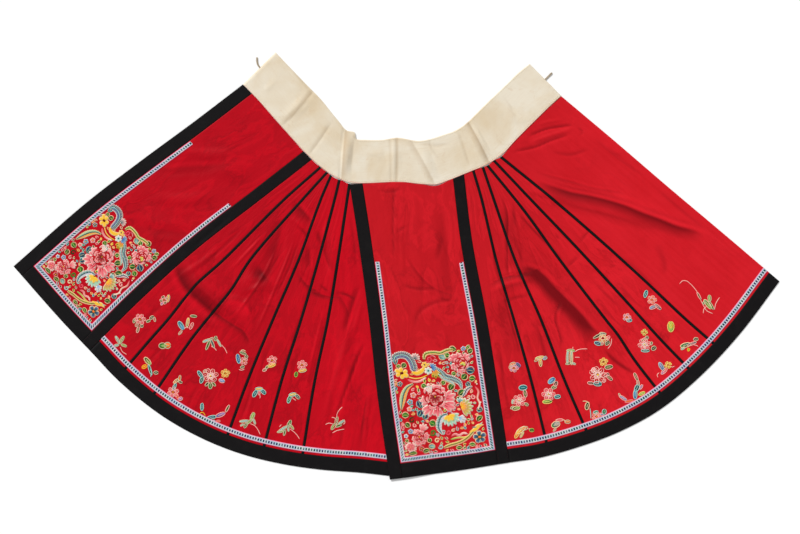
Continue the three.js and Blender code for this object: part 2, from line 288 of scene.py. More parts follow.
class WaistLine:
    """The two edges of the waistband, and the line below it that the skirt's cloth starts from."""

    def __init__(self) -> None:
        """Lays both edges through their sections."""
        self.sewn = SmoothLine(SEWN_EDGE)
        self.free = SmoothLine(FREE_EDGE)

    def point(self, distance: Array | float) -> Array:
        """Finds where the cloth below the band starts.

        Args:
            distance: millimetres along the sewn edge.

        Returns:
            The point on the sewn edge moved away from the band by the seam's gap and, where the
            band bends out, by the height of the arc over one straight stretch of cloth.
        """
        d = np.asarray(distance, float)
        before, here, after = (
            self.sewn.at((d + step * WAIST_STRETCH) / self.sewn.length) for step in (-0.5, 0, 0.5)
        )
        chord = after - before
        rise = before - here
        arc = (chord[..., 0] * rise[..., 1] - chord[..., 1] * rise[..., 0]) / np.linalg.norm(
            chord, axis=-1
        )
        return self.sewn.at(d / self.sewn.length, -SEAM_GAP - np.maximum(arc, 0))


WAIST = WaistLine()


@dataclass(frozen=True)
class Seam:
    """A line down a half skirt.

    Attributes:
        waist: where it starts, along the sewn edge of the waistband.
        way: points on its way down.
        hem: where it ends, along the hem.
    """

    waist: float
    way: tuple[Point, ...]
    hem: float


class SideLine:
    """One side of a piece of cloth: a line beside a seam, from the waistband to the hem."""

    def __init__(self, hem: SmoothLine, seam: Seam, aside: float) -> None:
        """Lays the line.

        Args:
            hem: the hem of the half skirt.
            seam: the seam that it runs beside.
            aside: how far beside, towards the inner panel.
        """
        ends = (WAIST.point(seam.waist), hem.at(seam.hem / hem.length))
        self.line = SmoothLine([tuple(ends[0]), *seam.way, tuple(ends[1])])
        self.aside = aside
        self.waist = seam.waist + aside
        self.hem = seam.hem + aside
        self.length = self.line.length
        self.top_shift = WAIST.point(self.waist) - self.line.at(0.0, aside)
        self.hem_shift = hem.at(self.hem / hem.length) - self.line.at(1.0, aside)

    def at(self, v: Array) -> Array:
        """Follows the line from the waistband to the hem.

        Args:
            v: shares of the way down.

        Returns:
            Points with x and y last, the first on the waistband's line and the last on the hem.
        """
        share = np.asarray(v, float)[..., None]
        beside = self.line.at(v, self.aside)
        return beside + self.top_shift * (1 - share) + self.hem_shift * share


class Cloth:
    """A map of one piece of cloth: u runs from side to side and v from waistband to hem."""

    def __init__(self, hem: SmoothLine, a: SideLine, b: SideLine) -> None:
        """Spans the cloth between its two sides, the waistband and the hem.

        Args:
            hem: the hem of the half skirt.
            a: the side at u 0.
            b: the side at u 1.
        """
        self.hem = hem
        self.a = a
        self.b = b
        self.width = float(np.linalg.norm(b.at(1.0) - a.at(1.0)))
        self.top_width = float(np.linalg.norm(b.at(0.0) - a.at(0.0)))
        self.length = (a.length + b.length) / 2

    def at(self, u: Array, v: Array) -> Array:
        """Places points of the cloth.

        The two sides are blended across, and the bows of the waistband and of the hem between
        their corners are added, each fading out towards the other.

        Args:
            u: shares across, from side a to side b.
            v: shares down, of the shape of u.

        Returns:
            Points with x and y last.
        """
        u, v = np.broadcast_arrays(np.asarray(u, float), np.asarray(v, float))
        across = u[..., None]
        down = v[..., None]
        top = WAIST.point(blend(self.a.waist, self.b.waist, u))
        foot = self.hem.at(blend(self.a.hem, self.b.hem, u) / self.hem.length)
        top_bow = top - blend(self.a.at(0.0), self.b.at(0.0), across)
        hem_bow = foot - blend(self.a.at(1.0), self.b.at(1.0), across)
        sides = blend(self.a.at(v), self.b.at(v), across)
        return sides + top_bow * (1 - down) + hem_bow * down

    def down_to(self, u: Array, from_hem: Array | float) -> Array:
        """Returns the share v that lies a distance above the hem."""
        return 1 - from_hem / blend(self.a.length, self.b.length, np.asarray(u, float))

    def from_top(self, u: Array, distance: float) -> Array:
        """Returns the share v that lies a distance below the waistband."""
        return distance / blend(self.a.length, self.b.length, np.asarray(u, float))


@dataclass(frozen=True)
class Crease:
    """A soft ridge or trough of the cloth along a smooth line.

    Its height is (1 - r squared) squared across, where r is the distance from the line over its
    reach, and fades out towards both ends. A lean moves the crest, so that one side is steeper.

    Attributes:
        way: points on its line.
        reach: half its width.
        rise: height of the crest, below 0 for a trough.
        lean: from -1 to 1, towards the right or the left of its line.
        body: how long it keeps its full height, 2 for a spindle and more for an even ridge.
        deep: how strongly shade is painted along it, with a painted highlight beside it where it leans;
            below 0 the two change places.
    """

    way: tuple[Point, ...]
    reach: float
    rise: float
    lean: float = 0.0
    body: float = 2.0
    deep: float = 0.0

    def beside(self, xy: Array) -> tuple[Array, Array, Array]:
        """Finds the points that the crease reaches.

        Args:
            xy: an (n, 2) array of points.

        Returns:
            Their numbers, their distance to the left of the line over the reach, and how full the
            crease is beside each.
        """
        points = np.asarray(self.way, float)
        low = points.min(axis=0) - CREASE_MARGIN * self.reach
        high = points.max(axis=0) + CREASE_MARGIN * self.reach
        near = np.flatnonzero(((xy > low) & (xy < high)).all(axis=1))
        if len(near) == 0:
            return near, np.zeros(0), np.zeros(0)
        along, leftward = SmoothLine(self.way).distances(xy[near])
        full = np.clip(1 - np.abs(2 * along - 1) ** self.body, 0, 1) ** 2
        return near, leftward / self.reach, full

    def shape(self, xy: Array) -> Array:
        """Works out the height of the crease.

        Args:
            xy: an (n, 2) array of points.

        Returns:
            For each point a share from 0 to 1 of the crest's height.
        """
        found = np.zeros(len(xy))
        near, r, full = self.beside(xy)
        leaned = r - self.lean * CREST_SHIFT * np.clip(1 - r ** 2, 0, 1)
        found[near] = np.clip(1 - leaned ** 2, 0, 1) ** 2 * full * (np.abs(r) < 1)
        return found

    def shading(self, xy: Array) -> Array:
        """Works out the shade painted along the crease, as a share of its depth.

        An even crease's painted shade is darkest on its line. A leaning one's is darkest on its line too,
        fades out over its reach on the gentle side, stops short on the steep side, and a highlight is
        painted beyond.

        Args:
            xy: an (n, 2) array of points.

        Returns:
            For each point a share of painted shade from 1, darkest, to 0, and below 0 where a highlight
            is painted.
        """
        found = np.zeros(len(xy))
        near, r, full = self.beside(xy)
        if self.lean == 0:
            found[near] = np.clip(1 - r ** 2, 0, 1) ** 3 * full
            return found
        steep = math.copysign(1, self.lean) * r
        dark = np.where(steep <= 0, np.clip(1 + GENTLE_SLOPE * steep, 0, 1),
                        np.clip(1 - STEEP_SLOPE * steep, 0, 1))
        # Painted highlight on the steep side, beyond the painted shade
        lit = LIT_SHARE * np.clip(1 - np.abs(steep - LIT_PLACE) / LIT_HALF, 0, 1)
        found[near] = (dark - lit) * full
        return found


# Large folds, which the solids have too: two ends, half width, height
FOLDS = (
    Crease(((-640, 10), (-400, -215)), 48, 6),
    Crease(((-470, -75), (-330, -20)), 45, 5),
    Crease(((-560, 330), (-400, 235)), 50, 4),
    Crease(((-740, 160), (-600, 60)), 50, 3),
    Crease(((-150, -110), (-150, -500)), 36, 5),
    Crease(((-170, 150), (-185, -120)), 30, 3),
    Crease(((330, 250), (860, 100)), 46, 9),
    Crease(((360, 0), (690, -300)), 55, 6),
    Crease(((270, -60), (430, 0)), 40, 4),
    Crease(((480, 420), (640, 290)), 48, 4),
    Crease(((-138, 390), (-150, 255)), 20, 6),
    Crease(((205, 412), (268, 298)), 20, 6),
    Crease(((-8, 368), (-8, 250)), 24, 3),
    Crease(((55, 360), (112, 240)), 24, 4),
    Crease(((-235, 500), (-330, 410)), 26, 3),
)

# Finer creases of the red cloth, left half first, with the shade and highlight painted along them
CREASES = (
    Crease(((-634, 14), (-622, -30), (-600, -66), (-566, -98), (-532, -126), (-498, -150)), 34, -3.0,
           -0.4, 6, 0.78),
    Crease(((-530, -128), (-498, -149), (-466, -170), (-438, -190), (-420, -228)), 10, -3.2, 0.4, 6,
           0.62),
    Crease(((-352, 80), (-356, 20), (-370, -22), (-396, -66)), 46, -1.2, 0.3, 3, 0.24),
    Crease(((-424, -18), (-392, -24), (-352, -22)), 26, -1.2, 0, 3, 0.26),
    Crease(((-500, -110), (-462, -104), (-430, -122), (-424, -160)), 24, 2.6, 0.4, 3, -0.36),
    Crease(((-250, 60), (-252, 30), (-248, -10)), 14, -1.6, 0.3, 3, 0.46),
    Crease(((-214, 74), (-204, 30), (-186, -20)), 12, -1.4, -0.3, 3, 0.41),
    Crease(((-262, -56), (-236, -78), (-196, -88), (-150, -86)), 9, -1.8, 0.3, 4, 0.49),
    Crease(((-606, 24), (-570, -52), (-536, -86), (-486, -122), (-430, -158)), 15, 3.0, 0.3, 4),
    Crease(((-640, -70), (-606, -118), (-560, -146), (-505, -184)), 14, 2.4, 0, 3),
    Crease(((-330, 140), (-342, 80), (-360, 10)), 30, -2.2, 0.4, 3, 0.36),
    Crease(((-406, 11), (-384, -26), (-358, -56)), 24, -2.0, 0.3, 3, 0.36),
    Crease(((-452, -78), (-409, -64), (-352, -58)), 10, 2.0, -0.4, 3, 0.26),
    Crease(((-440, -52), (-398, -46), (-360, -38)), 10, -1.2, 0, 2, 0.16),
    Crease(((-300, 190), (-268, 155), (-238, 118)), 20, -2.0, 0.3, 3, 0.61),
    Crease(((-310, 140), (-280, 120), (-246, 80)), 10, 1.8, 0, 3),
    Crease(((-292, 120), (-262, 92), (-252, 60)), 8, -1.6, 0, 2, 0.43),
    Crease(((-286, -17), (-262, -50), (-240, -66), (-197, -92)), 8, -2.2, 0.3, 3, 0.64),
    Crease(((-300, 20), (-262, -20), (-230, -45)), 9, 2.0),
    Crease(((-232, 108), (-224, 84), (-218, 52)), 12, -1.6, 0, 2, 0.52),
    Crease(((-196, 140), (-206, 96), (-204, 40)), 7, 1.6, 0, 3),
    Crease(((-176, -78), (-150, -80), (-118, -96)), 7, -2.0, 0, 3, 0.61),
    Crease(((-224, -50), (-206, -66), (-190, -78)), 7, -1.8, 0, 2, 0.52),
    Crease(((-177, -69), (-148, -112), (-133, -155)), 9, -1.8, 0.3, 2, 0.38),
    Crease(((-330, 120), (-352, 40), (-392, -40), (-470, -150)), 7, 2.2, 0.5, 5),
    Crease(((-320, 100), (-345, 20), (-400, -70)), 6, -1.4, 0, 4, 0.24),
    Crease(((-290, 84), (-322, 0), (-372, -120), (-408, -200)), 6, 2.0, 0, 5),
    Crease(((-280, 70), (-310, -10), (-350, -96)), 5, -1.4, 0, 4, 0.35),
    Crease(((-106, -56), (-120, -92), (-134, -134), (-152, -196)), 12, -2.6, 0.3, 4, 0.58),
    Crease(((-96, -90), (-112, -150), (-128, -220)), 9, 2.2, 0, 3),
    Crease(((-86, -214), (-110, -262), (-132, -322), (-152, -374), (-168, -420), (-192, -512)), 6,
           -2.2, 0.4, 7, 0.42),
    Crease(((-100, -214), (-128, -286), (-158, -362)), 9, 2.0, 0, 4),
    Crease(((-84, -366), (-94, -420), (-104, -500), (-110, -538)), 6, -2.0, -0.4, 5, 0.49),
    Crease(((-76, -350), (-84, -420), (-94, -520)), 5, 2.2, 0, 5),
    Crease(((-118, -140), (-168, -300), (-214, -470)), 14, 2.2, 0, 4, 0.12),
    Crease(((-140, -420), (-156, -480), (-166, -530)), 10, -1.4, 0, 3, 0.26),
    Crease(((-114, -20), (-122, 60), (-132, 150)), 8, -1.4, 0, 4, 0.32),
    Crease(((-196, -130), (-226, -250), (-252, -370)), 6, -1.4, 0, 5, 0.32),
    Crease(((-206, -120), (-238, -250), (-262, -360)), 5, 1.6, 0, 5),
    Crease(((-250, -60), (-286, -190), (-330, -320)), 6, -1.2, 0, 5, 0.26),
    Crease(((-395, -300), (-420, -400), (-450, -500)), 8, 1.6, 0, 3),
    Crease(((-404, -300), (-432, -400), (-468, -480)), 6, -1.2, 0, 3, 0.29),
    Crease(((-560, -330), (-590, -380), (-602, -420)), 8, -1.1, 0, 3, 0.26),
    Crease(((-500, 60), (-560, 10), (-640, -40)), 12, 1.8, 0, 3),
    Crease(((-470, 150), (-540, 90), (-600, 40)), 9, -1.4, 0, 3, 0.26),
    Crease(((-430, 118), (-500, 52), (-552, 2)), 7, -1.4, 0, 3, 0.29),
    Crease(((-380, 90), (-430, 36), (-478, -14)), 7, 1.6, 0, 3),
    Crease(((-660, -100), (-716, -150), (-770, -200)), 9, -1.3, 0, 3, 0.23),
    Crease(((-640, -200), (-690, -250), (-730, -300)), 7, -1.2, 0, 3, 0.29),
    Crease(((-707, 270), (-593, 281), (-464, 290)), 26, -3.0, 0.3, 3, 0.29),
    Crease(((-765, 118), (-664, 98), (-564, 89)), 24, -2.6, 0.2, 3, 0.23),
    Crease(((-640, 330), (-540, 322), (-452, 330)), 20, 2.0, 0, 3),
    Crease(((-720, 200), (-610, 190), (-500, 206)), 24, 2.2, 0, 3),
    Crease(((-1, 235), (-3, 120), (-1, 8)), 6, 1.6, 0.6, 6, 0.07),
    Crease(((-9, 235), (-10, 120), (-8, 10)), 5, -1.4, 0, 6, 0.43),
    Crease(((-4, 89), (14, 106), (33, 118)), 6, -1.6, 0, 2, 0.49),
    Crease(((-58, 218), (-20, 214), (22, 222)), 8, -1.2, 0, 3, 0.35),
    Crease(((30, 200), (60, 60), (70, -90)), 28, 1.8, 0, 3),
    Crease(((30, 28), (63, -23), (108, -64), (182, -90)), 9, -2.2, 0.3, 4, 0.43),
    Crease(((34, 12), (72, -46), (120, -82), (170, -102)), 10, 2.4, 0, 4),
    Crease(((10, -53), (62, -66), (122, -62)), 8, -1.8, 0, 3, 0.41),
    Crease(((180, -95), (108, -106), (63, -136), (50, -190)), 10, -2.0, 0, 3, 0.38),
    Crease(((130, 90), (124, 50), (112, 10)), 12, -1.6, 0, 3, 0.32),
    Crease(((10, 120), (16, 40), (20, -40)), 8, 1.6, 0, 3, 0.00),
    Crease(((120, 210), (140, 60), (160, -120)), 24, -1.8, 0.3, 3, 0.23),
    Crease(((300, 20), (352, -12), (404, -40), (456, -100), (520, -170), (590, -250)), 62, -1.5,
           -0.4, 4, 0.34),
    Crease(((300, 170), (322, 60), (330, -20)), 26, -1.4, -0.3, 4, 0.34),
    Crease(((300, -60), (316, -150), (350, -260)), 30, -1.4, 0.3, 4, 0.30),
    Crease(((396, 242), (440, 228), (500, 209), (552, 199), (602, 187), (654, 171), (702, 151),
            (752, 133), (804, 112), (852, 99), (890, 82)), 22, -5.2, 0.5, 8, 0.95),
    Crease(((384, 276), (432, 260), (502, 241), (562, 224), (622, 214), (672, 203)), 13, -2.4, 0.2,
           4, 0.36),
    Crease(((405, 254), (498, 228), (584, 210), (700, 176)), 12, 3.4, 0.2, 4),
    Crease(((350, 226), (430, 206), (520, 178), (640, 146), (760, 104)), 14, 2.8, -0.3, 5),
    Crease(((344, -2), (392, -12), (424, -34), (446, -60), (482, -96), (522, -136), (562, -182),
            (596, -206)), 27, -4.6, 0.4, 6, 0.95),
    Crease(((594, -238), (622, -268), (652, -290), (690, -312)), 10, -2.8, 0, 4, 0.72),
    Crease(((400, 34), (470, -24), (520, -92), (590, -152), (650, -220)), 22, 2.2, 0.2, 5),
    Crease(((400, -60), (440, -110), (500, -170), (560, -236)), 18, 2.0, 0, 4),
    Crease(((472, -92), (453, -150), (462, -182), (470, -220), (460, -248)), 7, -2.4, -0.4, 4, 0.67),
    Crease(((482, -100), (466, -150), (476, -200)), 6, 2.0, 0, 3),
    Crease(((303, 200), (318, 150), (318, 60), (320, -34)), 7, -2.4, 0.3, 6, 0.64),
    Crease(((332, 186), (338, 140), (345, 100)), 9, -1.8, 0, 2, 0.52),
    Crease(((348, 152), (400, 96), (450, 46), (486, 8)), 7, -2.2, 0, 5, 0.55),
    Crease(((340, 130), (384, 76), (440, 20), (480, -30)), 8, 2.4, 0, 5),
    Crease(((335, 96), (352, 40), (368, -10)), 8, -1.4, 0, 3, 0.32),
    Crease(((330, 190), (346, 90), (356, 0)), 8, 2.0, 0, 4),
    Crease(((258, -60), (306, -34), (352, -26), (426, -4)), 9, -2.6, 0.4, 4, 0.70),
    Crease(((262, -80), (310, -56), (400, -34)), 11, 2.4, 0, 3),
    Crease(((303, -60), (320, -130), (344, -214), (356, -262)), 6, -2.0, 0, 6, 0.61),
    Crease(((276, 60), (288, -10), (300, -50)), 7, -1.6, 0, 4, 0.43),
    Crease(((262, 120), (274, 60), (280, 0)), 6, 1.8, 0, 3),
    Crease(((290, -110), (345, -90), (400, -84)), 9, -1.6, 0, 2, 0.38),
    Crease(((390, -150), (410, -200), (440, -300)), 11, -1.8, 0, 4, 0.41),
    Crease(((360, -160), (386, -240), (410, -330)), 8, 1.8, 0, 4),
    Crease(((300, -240), (306, -330), (330, -440)), 8, -1.5, 0, 5, 0.38),
    Crease(((510, 404), (470, 399), (430, 392), (376, 370)), 7, -2.4, 0.4, 5, 0.58),
    Crease(((500, 378), (440, 358), (400, 341), (330, 326)), 7, -2.2, 0.3, 5, 0.52),
    Crease(((505, 392), (440, 374), (380, 352)), 7, 2.2, 0, 5),
    Crease(((484, 420), (430, 412), (398, 400)), 6, 1.6, 0, 3),
    Crease(((440, 328), (500, 320), (560, 338)), 9, -1.4, 0, 3, 0.29),
    Crease(((516, 400), (532, 384), (522, 372)), 5, -1.4, 0, 2, 0.38),
    Crease(((600, 356), (624, 330), (652, 320)), 9, 2.0, 0, 3),
    Crease(((560, 372), (640, 306), (720, 250)), 8, -1.2, 0, 4, 0.20),
    Crease(((740, 226), (820, 158), (900, 92)), 9, -1.3, 0, 4, 0.23),
    Crease(((746, 60), (768, 10), (772, -34)), 14, -1.5, 0, 3, 0.26),
    Crease(((455, 89), (469, 75)), 5, -1.4, 0, 2, 0.43),
    Crease(((486, -6), (527, 32)), 6, -1.6, 0, 2, 0.49),
    Crease(((520, 62), (540, 86), (562, 112)), 6, -1.6, 0, 2, 0.43),
    Crease(((540, 20), (640, -60), (700, -130)), 10, 1.8, 0, 3),
    Crease(((600, 60), (700, -20), (760, -90)), 8, -1.4, 0, 3, 0.29),
    Crease(((560, -40), (610, -90), (652, -130)), 7, -1.3, 0, 3, 0.35),
    Crease(((700, -140), (760, -200), (790, -250)), 8, -1.2, 0, 3, 0.26),
    Crease(((620, -330), (600, -400), (560, -460)), 8, 1.4, 0, 3),
    Crease(((820, 160), (900, 60), (980, -40)), 22, 1.8, 0, 3),
)

# Creases and tucks of the waistband, with the shade painted along them
BAND_CREASES = (
    Crease(((-145, 402), (-152, 318), (-158, 236)), 13, -1.8, -0.7, 12, 0.60),
    Crease(((-128, 400), (-136, 318), (-142, 236)), 12, 0.7, 0, 12),
    Crease(((-126, 380), (-123, 372), (-116, 366)), 6, 1.2, 0, 2, 0.30),
    Crease(((-234, 510), (-277, 453), (-330, 400)), 10, -1.1, 0.5, 8, 0.50),
    Crease(((-188, 410), (-220, 362), (-252, 318)), 9, -0.9, 0.5, 8, 0.36),
    Crease(((-20, 380), (-17, 304), (-16, 232)), 7, -0.8, 0, 12, 0.24),
    Crease(((1, 380), (1, 304), (-1, 232)), 8, -1.2, 0, 12, 0.50),
    Crease(((38, 364), (73, 304), (112, 230)), 12, -1.0, 0.5, 10, 0.42),
    Crease(((198, 426), (234, 360), (270, 288)), 12, -2.0, 0.7, 12, 0.64),
    Crease(((180, 412), (216, 350), (248, 286)), 10, 0.9, 0, 12),
    Crease(((-300, 566), (-262, 520), (-222, 470)), 5, -0.8, 0.4, 4, 0.22),
    Crease(((92, 372), (100, 340), (130, 300)), 5, -0.8, 0.4, 3, 0.24),
    Crease(((300, 500), (330, 452), (352, 400)), 5, -0.8, 0.4, 3, 0.2),
    Crease(((175, 390), (196, 330), (212, 276)), 7, -1.0, 0, 4, 0.24),
    Crease(((60, 352), (112, 345), (160, 352)), 9, -0.8, 0, 3, 0.19),
    Crease(((-100, 330), (-60, 322), (-30, 330)), 12, 0.8),
    Crease(((300, 470), (350, 420), (402, 430)), 16, 0.9),
    Crease(((-330, 560), (-360, 520), (-400, 490)), 14, 0.8),
)


class Lay:
    """The height of the cloth's underside and of its face over the surface it lies on."""

    def __init__(self, fine: Sequence[Crease], overlaps: bool = False) -> None:
        """Keeps the creases.

        Args:
            fine: creases that only the face of the cloth has.
            overlaps: whether the cloth lies over the hidden edge of the other half.
        """
        self.fine = tuple(fine)
        self.overlaps = overlaps

    def under(self, xy: Array) -> Array:
        """Returns the height of the underside: the large folds, and the lift over other cloth."""
        height = sum(fold.rise * fold.shape(xy) for fold in FOLDS)
        return height + OVERLAP.height(xy) if self.overlaps else height

    def face(self, xy: Array) -> Array:
        """Returns how far fine creases raise the face, below 0 where they sink it."""
        return sum((crease.rise * crease.shape(xy) for crease in self.fine), np.zeros(len(xy)))

    def depth(self, xy: Array) -> Array:
        """Adds up the shade and highlight painted along the creases.

        Args:
            xy: an (n, 2) array of points.

        Returns:
            For each point how much painted shade darkens the cloth, and below 0 where a highlight is
            painted.
        """
        marked = (crease for crease in self.fine if crease.deep)
        dark = sum((crease.deep * crease.shading(xy) for crease in marked), np.zeros(len(xy)))
        return np.clip(dark, *TONE_LIMITS)


@dataclass(frozen=True)
class Overlap:
    """Where the right face panel lies over the left inner panel.

    Attributes:
        over_panel: lift over the panel alone.
        over_hem: lift over its hem band and ribbon.
        sink: distances beyond the hidden edge between which the cloth sinks to the surface.
        rise: y between which it climbs to the hem.
        hidden_waist: where the hidden edge starts, along the sewn edge of the waistband.
        hidden_foot: the foot of the hidden edge.
    """

    over_panel: float = BINDING + SEAM_GAP
    over_hem: float = BINDING + RIBBON + 2 * SEAM_GAP
    sink: tuple[float, float] = (30.0, 130.0)
    rise: tuple[float, float] = (400.0, 505.0)
    hidden_waist: float = 670.0
    hidden_foot: Point = (-14.0, -603.0)

    def height(self, xy: Array) -> Array:
        """Works out the lift: full up to the hidden edge, then sinking.

        Args:
            xy: an (n, 2) array of points.

        Returns:
            The lift at each point.
        """
        top = WAIST.point(self.hidden_waist)
        x, y = xy.T
        edge = blend(top[0], self.hidden_foot[0], (top[1] - y) / (top[1] - self.hidden_foot[1]))
        lift = blend(self.over_panel, self.over_hem, smoothstep(-y, *self.rise))
        return lift * (1 - smoothstep(x - edge, *self.sink))


OVERLAP = Overlap()


@dataclass
class MeshData:
    """A mesh in the making: corners in millimetres, faces and what its finish reads.

    Attributes:
        corners: (n, 3) points.
        quads: faces of four corners.
        triangles: faces of three corners.
        uv: (n, 2) places on the cloth.
        tone: (n,) how much painted shade darkens the cloth, below 0 where a highlight is painted.
        thread: (n, 3) linear colours.
    """

    corners: Array
    quads: Array
    triangles: Array = field(default_factory=lambda: np.zeros((0, 3), int))
    uv: Array | None = None
    tone: Array | None = None
    thread: Array | None = None

    def write(self, name: str, finish: bpy.types.Material) -> bpy.types.Object:
        """Writes the mesh and links an object for it at the origin.

        Args:
            name: the piece's name.
            finish: its material.

        Returns:
            The new object, riding on the skirt's body.
        """
        mesh = bpy.data.meshes.new(name)
        corners = np.concatenate([self.quads.ravel(), self.triangles.ravel()]).astype(np.int32)
        sizes = np.repeat([4, 3], [len(self.quads), len(self.triangles)]).astype(np.int32)
        mesh.vertices.add(len(self.corners))
        mesh.vertices.foreach_set("co", (self.corners * MM).astype(np.float32).ravel())
        mesh.loops.add(len(corners))
        mesh.loops.foreach_set("vertex_index", corners)
        mesh.polygons.add(len(sizes))
        mesh.polygons.foreach_set("loop_start", np.cumsum(sizes) - sizes)
        mesh.polygons.foreach_set("loop_total", sizes)
        mesh.polygons.foreach_set("use_smooth", np.ones(len(sizes), bool))
        if self.uv is not None:
            layer = mesh.uv_layers.new(name="cloth")
            layer.data.foreach_set("uv", self.uv[corners].astype(np.float32).ravel())
        # The creases' painted shade and highlight, kept for the material to read
        if self.tone is not None:
            attribute = mesh.attributes.new("tone", "FLOAT", "POINT")
            attribute.data.foreach_set("value", self.tone.astype(np.float32))
        if self.thread is not None:
            attribute = mesh.color_attributes.new("thread", "FLOAT_COLOR", "POINT")
            opaque = np.column_stack([self.thread, np.ones(len(self.thread))])
            attribute.data.foreach_set("color", opaque.astype(np.float32).ravel())
        mesh.update(calc_edges=True)
        mesh.validate()
        mesh.materials.append(finish)
        made = bpy.data.objects.new(name, mesh)
        bpy.context.scene.collection.objects.link(made)
        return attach(made, "root")


def grid_faces(rows: int, columns: int, first: int = 0) -> Array:
    """Lists the quads of a grid.

    Args:
        rows: rows of corners.
        columns: corners in a row.
        first: number of the first corner.

    Returns:
        Quads that face up where rows run down the page and columns to the right.
    """
    ids = first + np.arange(rows * columns).reshape(rows, columns)
    a, b, c, d = ids[:-1, :-1], ids[:-1, 1:], ids[1:, 1:], ids[1:, :-1]
    return np.stack([a, d, c, b], axis=-1).reshape(-1, 4)


def stops(length: float, spacing: float) -> tuple[Array, Array]:
    """Divides a width of cloth, closer together where it rounds off at both edges.

    Args:
        length: millimetres.
        spacing: millimetres between the middle stops.

    Returns:
        Shares of the length, and the share of the full thickness at each.
    """
    rim = RIM_OFFSETS[-1]
    count = max(2, round((length - 2 * rim) / spacing) + 1)
    middle = np.linspace(rim, length - rim, count)
    places = np.concatenate([RIM_OFFSETS[:-1], middle, length - RIM_OFFSETS[-2::-1]])
    heights = np.interp(np.minimum(places, length - places), RIM_OFFSETS, RIM_HEIGHTS)
    return places / length, heights


def shell(xy: Array, under: Array, wall: Array, uv: Array, tone: Array) -> MeshData:
    """Closes a wall of cloth over a grid.

    The underside is the grid at height under, the face is the same grid raised by wall, and one
    strip of quads joins them round the rim.

    Args:
        xy: (rows, columns, 2) points.
        under: (rows, columns) heights of the underside.
        wall: (rows, columns) thickness.
        uv: (rows, columns, 2) places on the cloth.
        tone: (rows, columns) painted shade, below 0 where a highlight is painted.

    Returns:
        The closed mesh.
    """
    rows, columns = under.shape
    count = rows * columns
    face = grid_faces(rows, columns, count)
    ids = np.arange(count).reshape(rows, columns)
    rim = np.concatenate([ids[:-1, 0], ids[-1, :-1], ids[:0:-1, -1], ids[0, :0:-1]])
    onward = np.roll(rim, -1)
    edge = np.stack([rim, onward, onward + count, rim + count], axis=-1)
    flat = xy.reshape(-1, 2)
    low = np.column_stack([flat, under.ravel()])
    high = np.column_stack([flat, (under + wall).ravel()])
    return MeshData(
        corners=np.vstack([low, high]),
        quads=np.vstack([face[:, ::-1] - count, face, edge]),
        uv=np.tile(uv.reshape(-1, 2), (2, 1)),
        tone=np.tile(tone.ravel(), 2),
    )


